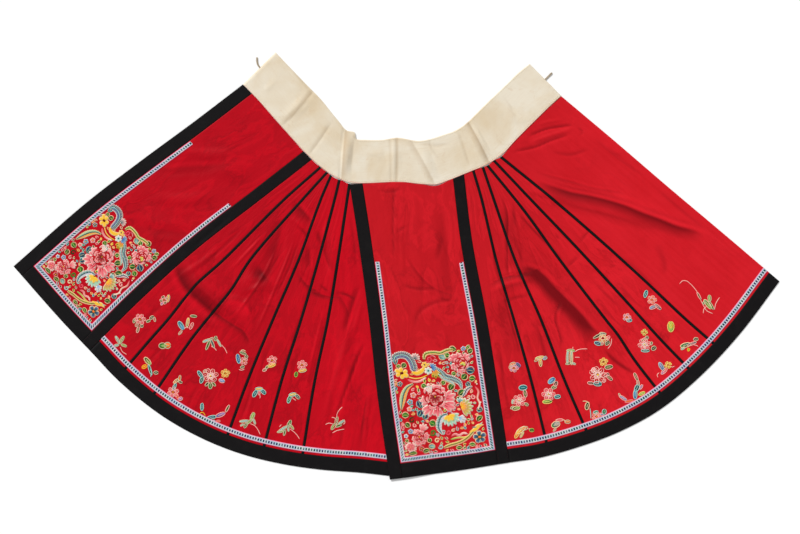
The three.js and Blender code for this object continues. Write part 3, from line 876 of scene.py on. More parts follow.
class NodeGraph:
    """A material's node tree, built a node at a time."""

    def __init__(self, name: str) -> None:
        """Starts a material with one principled shader."""
        self.material = bpy.data.materials.new(name)
        self.material.use_nodes = True
        self.tree = self.material.node_tree
        self.shader = self.tree.nodes["Principled BSDF"]

    def add(self, kind: str, inputs: dict | None = None, **settings: object) -> bpy.types.Node:
        """Adds a node.

        Args:
            kind: its type.
            inputs: values, or sockets to link, by the name or number of the input.
            settings: properties of the node.

        Returns:
            The node.
        """
        node = self.tree.nodes.new(kind)
        for key, value in settings.items():
            setattr(node, key, value)
        for key, value in (inputs or {}).items():
            self.feed(node.inputs[key], value)
        return node

    def feed(self, socket: bpy.types.NodeSocket, value: object) -> None:
        """Links a socket, or sets its value.

        Args:
            socket: the input.
            value: an output to link to it, or the value itself.
        """
        if isinstance(value, bpy.types.NodeSocket):
            self.tree.links.new(value, socket)
        else:
            socket.default_value = value

    def dress(self, **inputs: object) -> None:
        """Sets the shader's inputs, a word for each with underscores for spaces."""
        for key, value in inputs.items():
            self.feed(self.shader.inputs[key.replace("_", " ")], value)

    def cloth_place(self, stretch: Sequence[float] = (1, 1, 1)) -> bpy.types.NodeSocket:
        """Returns the place on the cloth in metres, from its own map, stretched by three factors."""
        source = self.add("ShaderNodeUVMap", uv_map="cloth").outputs[0]
        return self.add("ShaderNodeMapping", {0: source, 3: stretch}).outputs[0]

    def object_place(self) -> bpy.types.NodeSocket:
        """Returns the place in the skirt's frame in metres."""
        return self.add("ShaderNodeTexCoord").outputs["Object"]

    def noise(self, place: bpy.types.NodeSocket, scale: float, detail: float = 3.0,
              roughness: float = 0.55, distortion: float = 0.0) -> bpy.types.NodeSocket:
        """Adds a noise.

        Args:
            place: where it is read.
            scale: waves a metre.
            detail: finer layers on it.
            roughness: how strong those are.
            distortion: how far it is bent.

        Returns:
            A value from 0 to 1.
        """
        node = self.add("ShaderNodeTexNoise", {
            "Vector": place, "Scale": scale, "Detail": detail, "Roughness": roughness,
            "Distortion": distortion,
        })
        return node.outputs[0]

    def wave(self, place: bpy.types.NodeSocket, scale: float, axis: str,
             distortion: float = 0.0) -> bpy.types.NodeSocket:
        """Adds bands.

        Args:
            place: where they are read.
            scale: how close together they lie.
            axis: the axis that they cross.
            distortion: how far they are bent.

        Returns:
            A value from 0 to 1.
        """
        node = self.add("ShaderNodeTexWave", {
            "Vector": place, "Scale": scale, "Distortion": distortion, "Detail": 1.0,
        }, bands_direction=axis)
        return node.outputs["Fac"]

    def math(self, operation: str, a: object, b: object = 0.0,
             clamp: bool = False) -> bpy.types.NodeSocket:
        """Returns the result of a sum on two values."""
        node = self.add("ShaderNodeMath", {0: a, 1: b}, operation=operation, use_clamp=clamp)
        return node.outputs[0]

    def spread(self, value: bpy.types.NodeSocket, low: float, high: float, to_low: float = 0.0,
               to_high: float = 1.0) -> bpy.types.NodeSocket:
        """Returns the value with the stretch from low to high laid onto to_low to to_high."""
        node = self.add("ShaderNodeMapRange", {0: value, 1: low, 2: high, 3: to_low, 4: to_high})
        return node.outputs[0]

    def mix(self, share: object, a: object, b: object) -> bpy.types.NodeSocket:
        """Returns colour a at share 0 and colour b at share 1."""
        node = self.add("ShaderNodeMix", {0: share, 6: a, 7: b}, data_type="RGBA")
        return node.outputs[2]

    def attribute(self, name: str, output: str) -> bpy.types.NodeSocket:
        """Returns an attribute of the mesh."""
        return self.add("ShaderNodeAttribute", attribute_name=name).outputs[output]

    def bump(self, *layers: tuple[bpy.types.NodeSocket, float, float]) -> bpy.types.NodeSocket:
        """Raises the surface by one layer after another.

        Args:
            layers: the height, the strength and the distance in metres of each.

        Returns:
            The normal of the raised surface.
        """
        normal = None
        for height, strength, distance in layers:
            inputs = {"Height": height, "Strength": strength, "Distance": distance}
            if normal is not None:
                inputs["Normal"] = normal
            normal = self.add("ShaderNodeBump", inputs).outputs[0]
        return normal


def rgba(colour: Sequence[float]) -> tuple[float, float, float, float]:
    """Returns an sRGB colour as the linear colour and alpha that a socket takes."""
    return (*(float(c) for c in linear(colour)), 1.0)


@dataclass(frozen=True)
class RedSatin:
    """Red silk satin: warp lines, crumples, uneven dye, painted sheen streaks, painted shade and
    highlight in creases.

    Attributes:
        name: the material's name.
        face: colour of the satin at the light end of its uneven dye and painted sheen streaks.
        shade: colour at the dark end of its uneven dye and painted sheen streaks, and, a little darker,
            of its painted shade towards the left.
        deep: colour of the shade painted at the bottom of a crease and along fine crumples.
        crumple: how strongly fine crumples show, in the bump and in their painted shade and highlight, 1
            for worn cloth.
        deeper: x in metres from which and up to which the shade painted on the satin deepens.
    """

    name: str
    face: tuple[float, float, float] = (0.80, 0.10, 0.145)
    shade: tuple[float, float, float] = (0.745, 0.055, 0.10)
    deep: tuple[float, float, float] = (0.40, 0.0, 0.03)
    crumple: float = 1.0
    deeper: tuple[float, float] = (0.60, 0.30)

    def ridge(self, graph: NodeGraph, value: bpy.types.NodeSocket, level: float,
              half: float) -> bpy.types.NodeSocket:
        """Returns thin lines where the value passes a level: 1 on it, 0 from half away."""
        away = graph.math("ABSOLUTE", graph.math("SUBTRACT", value, level))
        return graph.spread(away, 0.0, half, 1.0, 0.0)

    def build(self) -> bpy.types.Material:
        """Mixes the dye, the painted sheen streaks, the painted shade towards the left, and the shade and
        highlight painted along the crumples and the creases.

        Returns:
            The material.
        """
        graph = NodeGraph(self.name)
        place = graph.object_place()
        along = graph.cloth_place((1.0, 0.5, 1.0))
        clouds = graph.spread(graph.noise(place, 5.5, 4, 0.6), 0.36, 0.64)
        # Streaks along the warp, painted into the colour as sheen
        streaks = graph.noise(graph.cloth_place((110, 4, 1)), 1.0, 3, 0.6)
        uneven = graph.math("ADD", graph.math("MULTIPLY", clouds, 0.5),
                            graph.spread(streaks, 0.3, 0.7, 0.0, 0.5), True)
        side = graph.add("ShaderNodeSeparateXYZ", {0: place}).outputs[0]
        # Painted shade, deepening towards the left of the skirt
        sunk = graph.math("MULTIPLY", graph.spread(side, *self.deeper), 0.6)
        lit = graph.mix(uneven, rgba(self.shade), rgba(self.face))
        with_side_shade = graph.mix(sunk, lit, rgba([0.93 * share for share in self.shade]))
        fine = graph.noise(along, 40, 3, 0.55, 0.5)
        broad = graph.noise(along, 13, 5, 0.62, 0.6)
        patches = graph.spread(graph.noise(place, 9, 2, 0.5), 0.42, 0.62)
        lines = graph.math("ADD", graph.math("MULTIPLY", self.ridge(graph, fine, 0.5, 0.05), 0.5),
                           self.ridge(graph, broad, 0.47, 0.03), True)
        # Painted shade along the fine crumples, and a painted highlight beside them
        dark = graph.math("MULTIPLY", graph.math("MULTIPLY", lines, patches), 0.24 * self.crumple)
        crumple_highlight_mask = graph.math("MULTIPLY", self.ridge(graph, broad, 0.54, 0.05), 0.24 * self.crumple)
        with_crumple_highlight = graph.mix(crumple_highlight_mask, with_side_shade, rgba([min(1.0, 1.13 * share) for share in self.face]))
        with_crumple_shade = graph.mix(dark, with_crumple_highlight, rgba(self.deep))
        threads = graph.wave(graph.cloth_place(), 420, "X")
        # The creases' painted shade, and below 0 their painted highlight
        tone = graph.attribute("tone", "Fac")
        crease_highlight_colour = rgba([min(1.0, 1.2 * share + 0.03) for share in self.face])
        raised = graph.mix(graph.math("MULTIPLY", tone, -1.0, True), with_crumple_shade, crease_highlight_colour)
        graph.dress(
            Base_Color=graph.mix(graph.math("MAXIMUM", tone, 0.0), raised, rgba(self.deep)),
            Roughness=graph.spread(uneven, 0, 1, 0.56, 0.44),
            Normal=graph.bump((broad, 0.5 * self.crumple, 0.004), (fine, 0.5 * self.crumple, 0.0014),
                              (threads, 0.12, 0.0002)),
            Specular_IOR_Level=0.1,
        )
        return graph.material


@dataclass(frozen=True)
class BlackSatin:
    """Black silk satin of the borders, pipings and hem bands, with a few pale flecks of wear."""

    name: str = "black satin"
    face: tuple[float, float, float] = (0.055, 0.047, 0.052)
    worn: tuple[float, float, float] = (0.095, 0.085, 0.085)

    def build(self) -> bpy.types.Material:
        """Mixes the black with its worn flecks.

        Returns:
            The material.
        """
        graph = NodeGraph(self.name)
        place = graph.object_place()
        wear = graph.spread(graph.noise(place, 30, 5, 0.7), 0.5, 0.8)
        streaks = graph.noise(graph.cloth_place((300, 12, 1)), 1.0, 2, 0.5)
        threads = graph.wave(graph.cloth_place(), 380, "X")
        puckers = graph.noise(place, 38, 3, 0.6, 0.8)
        graph.dress(
            Base_Color=graph.mix(graph.math("MULTIPLY", wear, 0.7), rgba(self.face),
                                 rgba(self.worn)),
            Roughness=graph.spread(streaks, 0.2, 0.8, 0.52, 0.68),
            Normal=graph.bump((puckers, 0.45, 0.0014), (threads, 0.2, 0.0002)),
            Specular_IOR_Level=0.1,
        )
        return graph.material


@dataclass(frozen=True)
class WovenRibbon:
    """Narrow woven ribbon: pale ground, a row of small dark blocks, pink selvedges.

    The map runs across the ribbon from 0 to 1 and along it in metres.
    """

    name: str = "woven ribbon"
    ground: tuple[float, float, float] = (0.82, 0.87, 0.84)
    ground_blue: tuple[float, float, float] = (0.66, 0.79, 0.84)
    ground_rose: tuple[float, float, float] = (0.80, 0.74, 0.78)
    teal: tuple[float, float, float] = (0.02, 0.22, 0.25)
    violet: tuple[float, float, float] = (0.10, 0.08, 0.32)
    selvedge: tuple[float, float, float] = (0.86, 0.52, 0.66)
    block_pitch: float = 0.0078

    def band(self, graph: NodeGraph, value: bpy.types.NodeSocket, centre: float, half: float,
             soft: float) -> bpy.types.NodeSocket:
        """Returns 1 where the value lies within half of the centre, with soft edges."""
        away = graph.math("ABSOLUTE", graph.math("SUBTRACT", value, centre))
        return graph.spread(away, half - soft, half + soft, 1.0, 0.0)

    def build(self) -> bpy.types.Material:
        """Lays the blocks, the ticks and the selvedges on the mottled ground.

        Returns:
            The material.
        """
        graph = NodeGraph(self.name)
        parts = graph.add("ShaderNodeSeparateXYZ", {0: graph.cloth_place()})
        across, along = parts.outputs[0], parts.outputs[1]
        repeat = graph.math("FRACT", graph.math("DIVIDE", along, self.block_pitch))
        block = graph.math("MULTIPLY", self.band(graph, repeat, 0.5, 0.32, 0.05),
                           self.band(graph, across, 0.5, 0.23, 0.04))
        small = graph.math("FRACT", graph.math("DIVIDE", along, self.block_pitch / 2))
        ticks = graph.math("MULTIPLY", self.band(graph, small, 0.5, 0.24, 0.1), graph.math(
            "ADD", self.band(graph, across, 0.24, 0.035, 0.02),
            self.band(graph, across, 0.76, 0.035, 0.02)))
        stretch = graph.noise(graph.object_place(), 26, 1, 0.5)
        hue = graph.spread(stretch, 0.44, 0.56)
        dark = graph.mix(hue, rgba(self.teal), rgba(self.violet))
        ground = graph.mix(graph.spread(graph.noise(graph.object_place(), 60, 2), 0.4, 0.6),
                           rgba(self.ground), rgba(self.ground_blue))
        mottle = graph.spread(graph.noise(graph.object_place(), 170, 2), 0.48, 0.60, 0.0, 0.6)
        mottled = graph.mix(mottle, ground, rgba(self.ground_rose))
        uneven = graph.spread(graph.noise(graph.object_place(), 120, 2), 0.30, 0.50, 0.7, 1.0)
        figured = graph.mix(graph.math("MULTIPLY", block, uneven), mottled, dark)
        ticked = graph.mix(graph.math("MULTIPLY", ticks, 0.42), figured, rgba(self.teal))
        edges = graph.math("ADD", self.band(graph, across, 0.0, 0.13, 0.03),
                           self.band(graph, across, 1.0, 0.13, 0.03), True)
        weft = graph.wave(graph.cloth_place((0.0, 1, 1)), 330, "Y")
        graph.dress(
            Base_Color=graph.mix(edges, ticked, rgba(self.selvedge)),
            Roughness=0.62,
            Normal=graph.bump((weft, 0.3, 0.0003), (block, 0.4, 0.0004)),
            Specular_IOR_Level=0.25,
        )
        return graph.material


@dataclass(frozen=True)
class Cotton:
    """Coarse undyed cotton of the waistband: plain weave with slubs, yellowed and stained."""

    name: str = "cotton"
    face: tuple[float, float, float] = (0.89, 0.85, 0.775)
    warm: tuple[float, float, float] = (0.845, 0.775, 0.66)
    stain: tuple[float, float, float] = (0.80, 0.69, 0.55)
    # Colour of the shade painted along the waistband's creases
    crease: tuple[float, float, float] = (0.68, 0.58, 0.45)

    def build(self) -> bpy.types.Material:
        """Mixes the cotton with its stains and its slubs, and paints shade along its creases.

        Returns:
            The material.
        """
        graph = NodeGraph(self.name)
        place = graph.object_place()
        clouds = graph.spread(graph.noise(place, 7, 4, 0.6, 0.6), 0.38, 0.66)
        stains = graph.spread(graph.noise(place, 19, 5, 0.7, 1.2), 0.60, 0.74)
        slubs = graph.noise(graph.cloth_place((18, 520, 1)), 1.0, 2, 0.5)
        warp = graph.wave(graph.cloth_place(), 300, "X", 1.2)
        weft = graph.wave(graph.cloth_place(), 300, "Y", 1.2)
        weave = graph.math("MULTIPLY", warp, weft)
        aged = graph.mix(clouds, rgba(self.face), rgba(self.warm))
        stained = graph.mix(graph.math("MULTIPLY", stains, 0.5), aged, rgba(self.stain))
        fibre = graph.mix(graph.spread(slubs, 0.55, 0.8, 0, 0.35), stained, rgba(self.stain))
        # The creases' painted shade darkens the cotton towards the crease colour
        graph.dress(
            Base_Color=graph.mix(graph.math("MAXIMUM", graph.attribute("tone", "Fac"), 0.0), fibre,
                                 rgba(self.crease)),
            Roughness=0.92,
            Normal=graph.bump((graph.noise(place, 30, 4, 0.6, 0.8), 0.55, 0.002),
                              (slubs, 0.4, 0.0004), (weave, 0.5, 0.0005)),
            Specular_IOR_Level=0.15,
        )
        return graph.material


@dataclass(frozen=True)
class TwistedCord:
    """Twisted cotton cord, its strands crossing the map at a slant."""

    name: str = "twisted cord"
    face: tuple[float, float, float] = (0.80, 0.74, 0.64)
    # Colour of the shade painted in the grooves between the strands
    groove_shade: tuple[float, float, float] = (0.55, 0.47, 0.38)

    def build(self) -> bpy.types.Material:
        """Draws the strands, with shade painted in the grooves between them.

        Returns:
            The material.
        """
        graph = NodeGraph(self.name)
        strands = graph.wave(graph.cloth_place(), 160, "DIAGONAL", 0.4)
        graph.dress(
            Base_Color=graph.mix(strands, rgba(self.groove_shade), rgba(self.face)),
            Roughness=0.9,
            Normal=graph.bump((strands, 0.8, 0.0006)),
            Specular_IOR_Level=0.15,
        )
        return graph.material


@dataclass(frozen=True)
class SilkFloss:
    """Untwisted embroidery silk in each stitch's own colour, with fine thread lines and shade painted
    between them.
    """

    name: str = "silk floss"

    def build(self) -> bpy.types.Material:
        """Draws thread lines on the colour that each stitch brings, with shade painted between them.

        Returns:
            The material.
        """
        graph = NodeGraph(self.name)
        colour = graph.attribute("thread", "Color")
        threads = graph.wave(graph.cloth_place(), 190, "X", 0.5)
        # Shade painted between the threads
        dark = graph.mix(0.25, colour, (0.0, 0.0, 0.0, 1.0))
        graph.dress(
            Base_Color=graph.mix(graph.spread(threads, 0.1, 0.5), dark, colour),
            Roughness=0.5,
            Normal=graph.bump((threads, 0.5, 0.0004)),
            Specular_IOR_Level=0.15,
        )
        return graph.material


@dataclass(frozen=True)
class Finishes:
    """One material for each finish."""

    red_left: bpy.types.Material
    red_right: bpy.types.Material
    red_plain: bpy.types.Material
    black: bpy.types.Material
    ribbon: bpy.types.Material
    cotton: bpy.types.Material
    cord: bpy.types.Material
    floss: bpy.types.Material


@dataclass(frozen=True)
class Cut:
    """How a piece of cloth was cut: width and length in millimetres of what shows."""

    width: float
    length: float


class Sewer:
    """Turns grids of cloth into finished pieces of the skirt."""

    def __init__(self, lay: Lay) -> None:
        """Keeps the lay of the cloth it works on."""
        self.lay = lay

    def sew(self, node: str, xy: Array, uv: Array, thickness: Array, finish: bpy.types.Material,
            slot: Slot, cut: Cut, lift: float = 0.0, rests_on: Sequence[str] = ()) -> None:
        """Makes one piece of cloth in place of its solid.

        Args:
            node: the solid that it stands for.
            xy: (rows, columns, 2) grid.
            uv: (rows, columns, 2) places on the cloth.
            thickness: (rows, columns) thickness.
            finish: its material.
            slot: its material slot; not used.
            cut: the width and length that it was cut to; not used.
            lift: how far above the surface it starts, on other cloth.
            rests_on: solids that it lies on; not used.
        """
        flat = xy.reshape(-1, 2)
        under = self.lay.under(flat).reshape(thickness.shape)
        creases = self.lay.face(flat).reshape(thickness.shape)
        # Shade and highlight painted along the creases
        tone = self.lay.depth(flat).reshape(thickness.shape)
        drop = np.minimum(creases, 0)
        raised = np.maximum(creases, 0)
        sunk = np.maximum(drop, -(under + DEEPEST_TROUGH * thickness))
        low = np.where(under + sunk < 0, 0, under + sunk) if lift == 0 else under + sunk
        low = low + lift + raised * (lift > 0)
        wall = thickness + (under + lift + sunk - low) + raised
        data = shell(xy, low, np.maximum(wall, THINNEST_WALL), uv, tone)
        piece = data.write(f"{node}_cloth", finish)
        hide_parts(node)

    @staticmethod
    def area(xy: Array) -> float:
        """Measures a grid: half the cross product of each quad's diagonals.

        Args:
            xy: (rows, columns, 2) grid.

        Returns:
            Its flat area.
        """
        first = xy[1:, 1:] - xy[:-1, :-1]
        second = xy[1:, :-1] - xy[:-1, 1:]
        return float(np.abs(first[..., 0] * second[..., 1] - first[..., 1] * second[..., 0]).sum()
                     / 2)


def panel_grid(cloth: Cloth, from_hem: float, spacing: float) -> tuple[Array, Array, Array]:
    """Grids a cloth from the waistband down to a distance above the hem.

    Args:
        cloth: the cloth's map.
        from_hem: distance above the hem.
        spacing: millimetres between points.

    Returns:
        Points, places on the cloth in metres and the share of the thickness at each.
    """
    u, across = stops(cloth.width, spacing)
    v, down = stops(cloth.length - from_hem, spacing)
    uu = np.broadcast_to(u, (len(v), len(u)))
    foot = cloth.down_to(uu, from_hem)
    vv = foot * v[:, None]
    uv = np.stack([(uu - 0.5) * cloth.width * MM, -vv * cloth.length * MM], axis=-1)
    return cloth.at(uu, vv), uv, np.minimum(across[None, :], down[:, None])


def strip_grid(rows: Array, heights: Array) -> tuple[Array, Array]:
    """Maps a band whose rows are lines along it.

    Args:
        rows: (rows, columns, 2) points, with columns running along the band.
        heights: share of the thickness at each row.

    Returns:
        Places, across from 0 to 1 and along in metres, and the share of the thickness.
    """
    middle = rows.mean(axis=0)
    run = run_along(middle)
    across = np.linspace(0, 1, rows.shape[0])
    uv = np.stack(np.broadcast_arrays(across[:, None], run[None, :] * MM), axis=-1)
    ends = np.interp(np.minimum(run, run[-1] - run), RIM_OFFSETS, RIM_HEIGHTS)
    return uv, np.minimum(heights[:, None], ends[None, :])


@dataclass(frozen=True)
class HalfSkirt:
    """One half of the skirt, from its face panel to its plain inner panel.

    Attributes:
        name: left or right.
        ribbon_tops: how far below the waistband the face ribbon starts, outer and inner leg.
        hem: points on the hem, from the face panel to the inner panel.
        seams: outer edge, face seam, five piped seams and the inner edge.
    """

    name: str
    ribbon_tops: tuple[float, float]
    hem: tuple[Point, ...]
    seams: tuple[Seam, ...]

    def hem_line(self) -> SmoothLine:
        """Returns the hem."""
        return SmoothLine(self.hem)

    def cloth(self, first: int, first_aside: float, second: int, second_aside: float) -> Cloth:
        """Maps the cloth between two seams.

        Args:
            first: number of the seam on side a.
            first_aside: how far beside it the cloth starts.
            second: number of the seam on side b.
            second_aside: how far beside it the cloth ends.

        Returns:
            The cloth's map.
        """
        hem = self.hem_line()
        return Cloth(hem, SideLine(hem, self.seams[first], first_aside),
                     SideLine(hem, self.seams[second], second_aside))

    def field(self) -> Cloth:
        """Returns the map of the face panel's red field."""
        return self.cloth(0, BORDER_OUTER + SEWN, 1, -BORDER_INNER - SEWN)

    def red(self, finishes: Finishes, name: str = "") -> bpy.types.Material:
        """Chooses the red satin of a piece: the left half's is painted darker, as shade, and the right
        inner panel's has fewer crumples.

        Args:
            finishes: the materials.
            name: the piece, without the name of its half.

        Returns:
            Its material.
        """
        if self.name == "left":
            return finishes.red_left
        return finishes.red_plain if name == "inner_panel" else finishes.red_right


LEFT_HALF = HalfSkirt(
    name="left",
    ribbon_tops=(222, 262),
    hem=((-1099, -1), (-966, -152), (-880, -243), (-794, -333), (-679, -426), (-564, -492),
         (-449, -538), (-334, -567), (-220, -584), (-105, -593), (-14, -603)),
    seams=(
        Seam(0, ((-584, 412), (-736, 300), (-891, 181)), 0),
        Seam(293, ((-392, 189), (-575, 47), (-735, -98)), 326),
        Seam(326, ((-324, 189), (-497, 17), (-576, -55), (-657, -155), (-707, -212)), 438),
        Seam(350, ((-271, 189), (-420, 17), (-475, -69), (-545, -155), (-590, -212)), 552),
        Seam(364, ((-218, 189), (-281, 17), (-355, -155), (-426, -327)), 804),
        Seam(391, ((-178, 189), (-224, 17), (-274, -155), (-329, -327)), 917),
        Seam(422, ((-142, 189), (-168, 17), (-197, -155), (-234, -327)), 1034),
        Seam(670, ((82, 26), (50, -184), (18, -393)), 1296),
    ),
)

RIGHT_HALF = HalfSkirt(
    name="right",
    ribbon_tops=(228, 240),
    hem=((-19, -613), (185, -586), (324, -564), (412, -550), (527, -518), (641, -475), (756, -412),
         (871, -317), (986, -194), (1099, -44)),
    seams=(
        Seam(422, ((-110, 75), (-79, -155), (-53, -385)), 0),
        Seam(756, ((217, 75), (260, -155), (297, -385)), 347),
        Seam(785, ((245, 189), (286, 17), (337, -155), (386, -327)), 464),
        Seam(814, ((280, 189), (340, 17), (415, -155), (482, -327)), 590),
        Seam(828, ((369, 155), (469, 17), (601, -155), (636, -199), (683, -270)), 838),
        Seam(851, ((387, 189), (515, 55), (656, -98), (759, -212)), 950),
        Seam(873, ((451, 189), (583, 75), (710, -40), (832, -155)), 1055),
        Seam(1119, ((630, 355), (785, 222), (943, 89)), 1314),
    ),
)


@dataclass(frozen=True)
class FacePanel:
    """The flat panel at the front of a half skirt: red field, black borders and woven ribbon."""

    half: HalfSkirt
    lay: Lay
    spacing: float = 4.8
    ribbon_spacing: float = 4.0

    def build(self, finishes: Finishes) -> int:
        """Makes the five pieces.

        Args:
            finishes: the materials.

        Returns:
            How many pieces were made.
        """
        half = self.half
        sewer = Sewer(self.lay)
        cloth = half.field()
        foot = FACE_HEM_WIDTH + SEWN
        under = ["left_inner_panel", "left_hem_band"] if self.lay.overlaps else []
        xy, uv, round_off = panel_grid(cloth, foot, self.spacing)
        panel = f"{half.name}_face_panel"
        sewer.sew(panel, xy, uv, SATIN * round_off, half.red(finishes), Slot.RED_SATIN,
                  Cut(cloth.width, cloth.length - foot), rests_on=under)
        sides = {
            "border_outer": half.cloth(0, 0, 0, BORDER_OUTER),
            "border_inner": half.cloth(1, -BORDER_INNER, 1, -SEWN),
        }
        for name, side in sides.items():
            xy, uv, round_off = panel_grid(side, 0.0, self.spacing)
            sewer.sew(f"{half.name}_{name}", xy, uv, BINDING * round_off, finishes.black,
                      Slot.BLACK_SATIN, Cut(side.width, side.length), rests_on=under)
        self.hem_border(cloth, sewer, finishes, under)
        self.ribbon(cloth, sewer, finishes, panel)
        return 5

    def hem_border(self, cloth: Cloth, sewer: Sewer, finishes: Finishes,
                   under: Sequence[str]) -> None:
        """Makes the black border at the foot: lines of the cloth from its width down to the hem.

        Args:
            cloth: map of the red field.
            sewer: makes the piece.
            finishes: the materials.
            under: solids that it lies on.
        """
        share, heights = stops(FACE_HEM_WIDTH, self.spacing)
        u, _ = stops(cloth.width, self.spacing)
        uu, fall = np.meshgrid(u, FACE_HEM_WIDTH * (1 - share))
        rows = cloth.at(uu, cloth.down_to(uu, fall))
        place, round_off = strip_grid(rows, heights)
        uv = place[..., ::-1] * np.array([1.0, FACE_HEM_WIDTH * MM])
        sewer.sew(f"{self.half.name}_border_hem", rows, uv, BINDING * round_off, finishes.black,
                  Slot.BLACK_SATIN, Cut(FACE_HEM_WIDTH, cloth.width), rests_on=under)

    def ribbon(self, cloth: Cloth, sewer: Sewer, finishes: Finishes, panel: str) -> None:
        """Makes the ribbon: down one side, along the foot and up the other, mitred at the corners.

        Each of its lines keeps one distance inside the field's edges all the way round.

        Args:
            cloth: map of the red field.
            sewer: makes the piece.
            finishes: the materials.
            panel: the solid that it lies on.
        """
        share, heights = stops(FACE_RIBBON[1] - FACE_RIBBON[0], RIBBON_SPACING)
        inset = (FACE_RIBBON[0] + (FACE_RIBBON[1] - FACE_RIBBON[0]) * share)[None, :]
        u = inset / cloth.width
        foot = cloth.down_to(0.5, FACE_HEM_WIDTH + SEAM_GAP + inset)
        tops = [cloth.from_top(side, top) for side, top in zip((0, 1), self.half.ribbon_tops)]
        leg = max(2, round((cloth.length - self.half.ribbon_tops[0]) / self.ribbon_spacing))
        t = np.linspace(0, 1, leg, endpoint=False)[:, None]
        s = np.linspace(0, 1, round(cloth.width / self.ribbon_spacing), endpoint=False)[:, None]
        r = np.linspace(0, 1, leg + 1)[:, None]
        xy = np.concatenate([
            cloth.at(u + 0 * t, blend(tops[0], foot, t)),
            cloth.at(blend(u, 1 - u, s), foot + 0 * s),
            cloth.at(1 - u + 0 * r, blend(foot, tops[1], r)),
        ])
        place, round_off = strip_grid(xy.swapaxes(0, 1), heights)
        middle = xy.mean(axis=1)
        length = float(np.linalg.norm(np.diff(middle, axis=0), axis=1).sum())
        uv = place.swapaxes(0, 1)
        uv[..., 0] = share[None, :]
        sewer.sew(f"{self.half.name}_face_ribbon", xy, uv, RIBBON * round_off.T, finishes.ribbon,
                  Slot.WOVEN_RIBBON, Cut(FACE_RIBBON[1] - FACE_RIBBON[0], length),
                  lift=SATIN + SEAM_GAP, rests_on=[panel])


@dataclass(frozen=True)
class PleatedPanels:
    """The gores with their pipings and the plain inner panel, over one hem band and ribbon."""

    half: HalfSkirt
    lay: Lay
    spacing: float = 4.7

    def cloths(self) -> list[tuple[str, Cloth]]:
        """Maps gores, pipings and the inner panel.

        Returns:
            Their names and maps in order.
        """
        last = len(self.half.seams) - 1
        beside = PIPING_WIDTH / 2 + SEWN
        found = []
        for seam in range(1, last):
            start = 0.0 if seam == 1 else beside
            end = 0.0 if seam + 1 == last else -beside
            name = "inner_panel" if seam + 1 == last else f"gore_{seam}"
            found.append((name, self.half.cloth(seam, start, seam + 1, end)))
            if seam + 1 < last:
                piping = self.half.cloth(seam + 1, -PIPING_WIDTH / 2, seam + 1, PIPING_WIDTH / 2)
                found.append((f"piping_{seam}", piping))
        return found

    def build(self, finishes: Finishes) -> int:
        """Makes all the pieces.

        Args:
            finishes: the materials.

        Returns:
            How many pieces were made.
        """
        half = self.half
        sewer = Sewer(self.lay)
        cloths = self.cloths()
        for name, cloth in cloths:
            is_piping = name.startswith("piping")
            xy, uv, round_off = panel_grid(cloth, HEM_BAND_WIDTH + SEWN, self.spacing)
            wall = (BINDING if is_piping else SATIN) * round_off
            finish, slot = ((finishes.black, Slot.BLACK_SATIN) if is_piping
                            else (half.red(finishes, name), Slot.RED_SATIN))
            sewer.sew(f"{half.name}_{name}", xy, uv, wall, finish, slot,
                      Cut(max(cloth.width, cloth.top_width), cloth.length - HEM_BAND_WIDTH))
        maps = [cloth for _, cloth in cloths]
        self.band(maps, sewer, finishes)
        self.ribbon(maps, sewer, finishes)
        return len(cloths) + 2

    def lines(self, cloths: Sequence[Cloth], from_hem: Array) -> Array:
        """Draws lines across neighbouring cloths.

        Args:
            cloths: their maps in order.
            from_hem: distance above the hem of each line.

        Returns:
            (lines, columns, 2) points.
        """
        parts = []
        for cloth in cloths:
            count = max(2, round(cloth.width / self.spacing))
            u = np.linspace(0, 1, count, endpoint=cloth is cloths[-1])
            uu, fall = np.meshgrid(u, from_hem)
            parts.append(cloth.at(uu, cloth.down_to(uu, fall)))
        return np.concatenate(parts, axis=1)

    def band(self, cloths: Sequence[Cloth], sewer: Sewer, finishes: Finishes) -> None:
        """Makes the black band along the hem.

        Args:
            cloths: maps of the cloths above it, in order.
            sewer: makes the piece.
            finishes: the materials.
        """
        share, heights = stops(HEM_BAND_WIDTH, self.spacing)
        rows = self.lines(cloths, HEM_BAND_WIDTH * (1 - share))
        place, round_off = strip_grid(rows, heights)
        length = place[0, -1, 1] / MM
        uv = place[..., ::-1] * np.array([1.0, HEM_BAND_WIDTH * MM])
        sewer.sew(f"{self.half.name}_hem_band", rows, uv, BINDING * round_off, finishes.black,
                  Slot.BLACK_SATIN, Cut(HEM_BAND_WIDTH, length))

    def ribbon(self, cloths: Sequence[Cloth], sewer: Sewer, finishes: Finishes) -> None:
        """Makes the ribbon above the hem band, over the feet of the gores and pipings.

        Args:
            cloths: maps of the cloths above it, in order.
            sewer: makes the piece.
            finishes: the materials.
        """
        low, high = HEM_RIBBON
        share, heights = stops(high - low, RIBBON_SPACING)
        rows = self.lines(cloths, high - (high - low) * share)
        uv, round_off = strip_grid(rows, heights)
        uv[..., 0] = share[:, None]
        sewer.sew(f"{self.half.name}_hem_ribbon", rows, uv, RIBBON * round_off, finishes.ribbon,
                  Slot.WOVEN_RIBBON, Cut(high - low, uv[0, -1, 1] / MM), lift=BINDING + SEAM_GAP,
                  rests_on=[f"{self.half.name}_gore_3"])


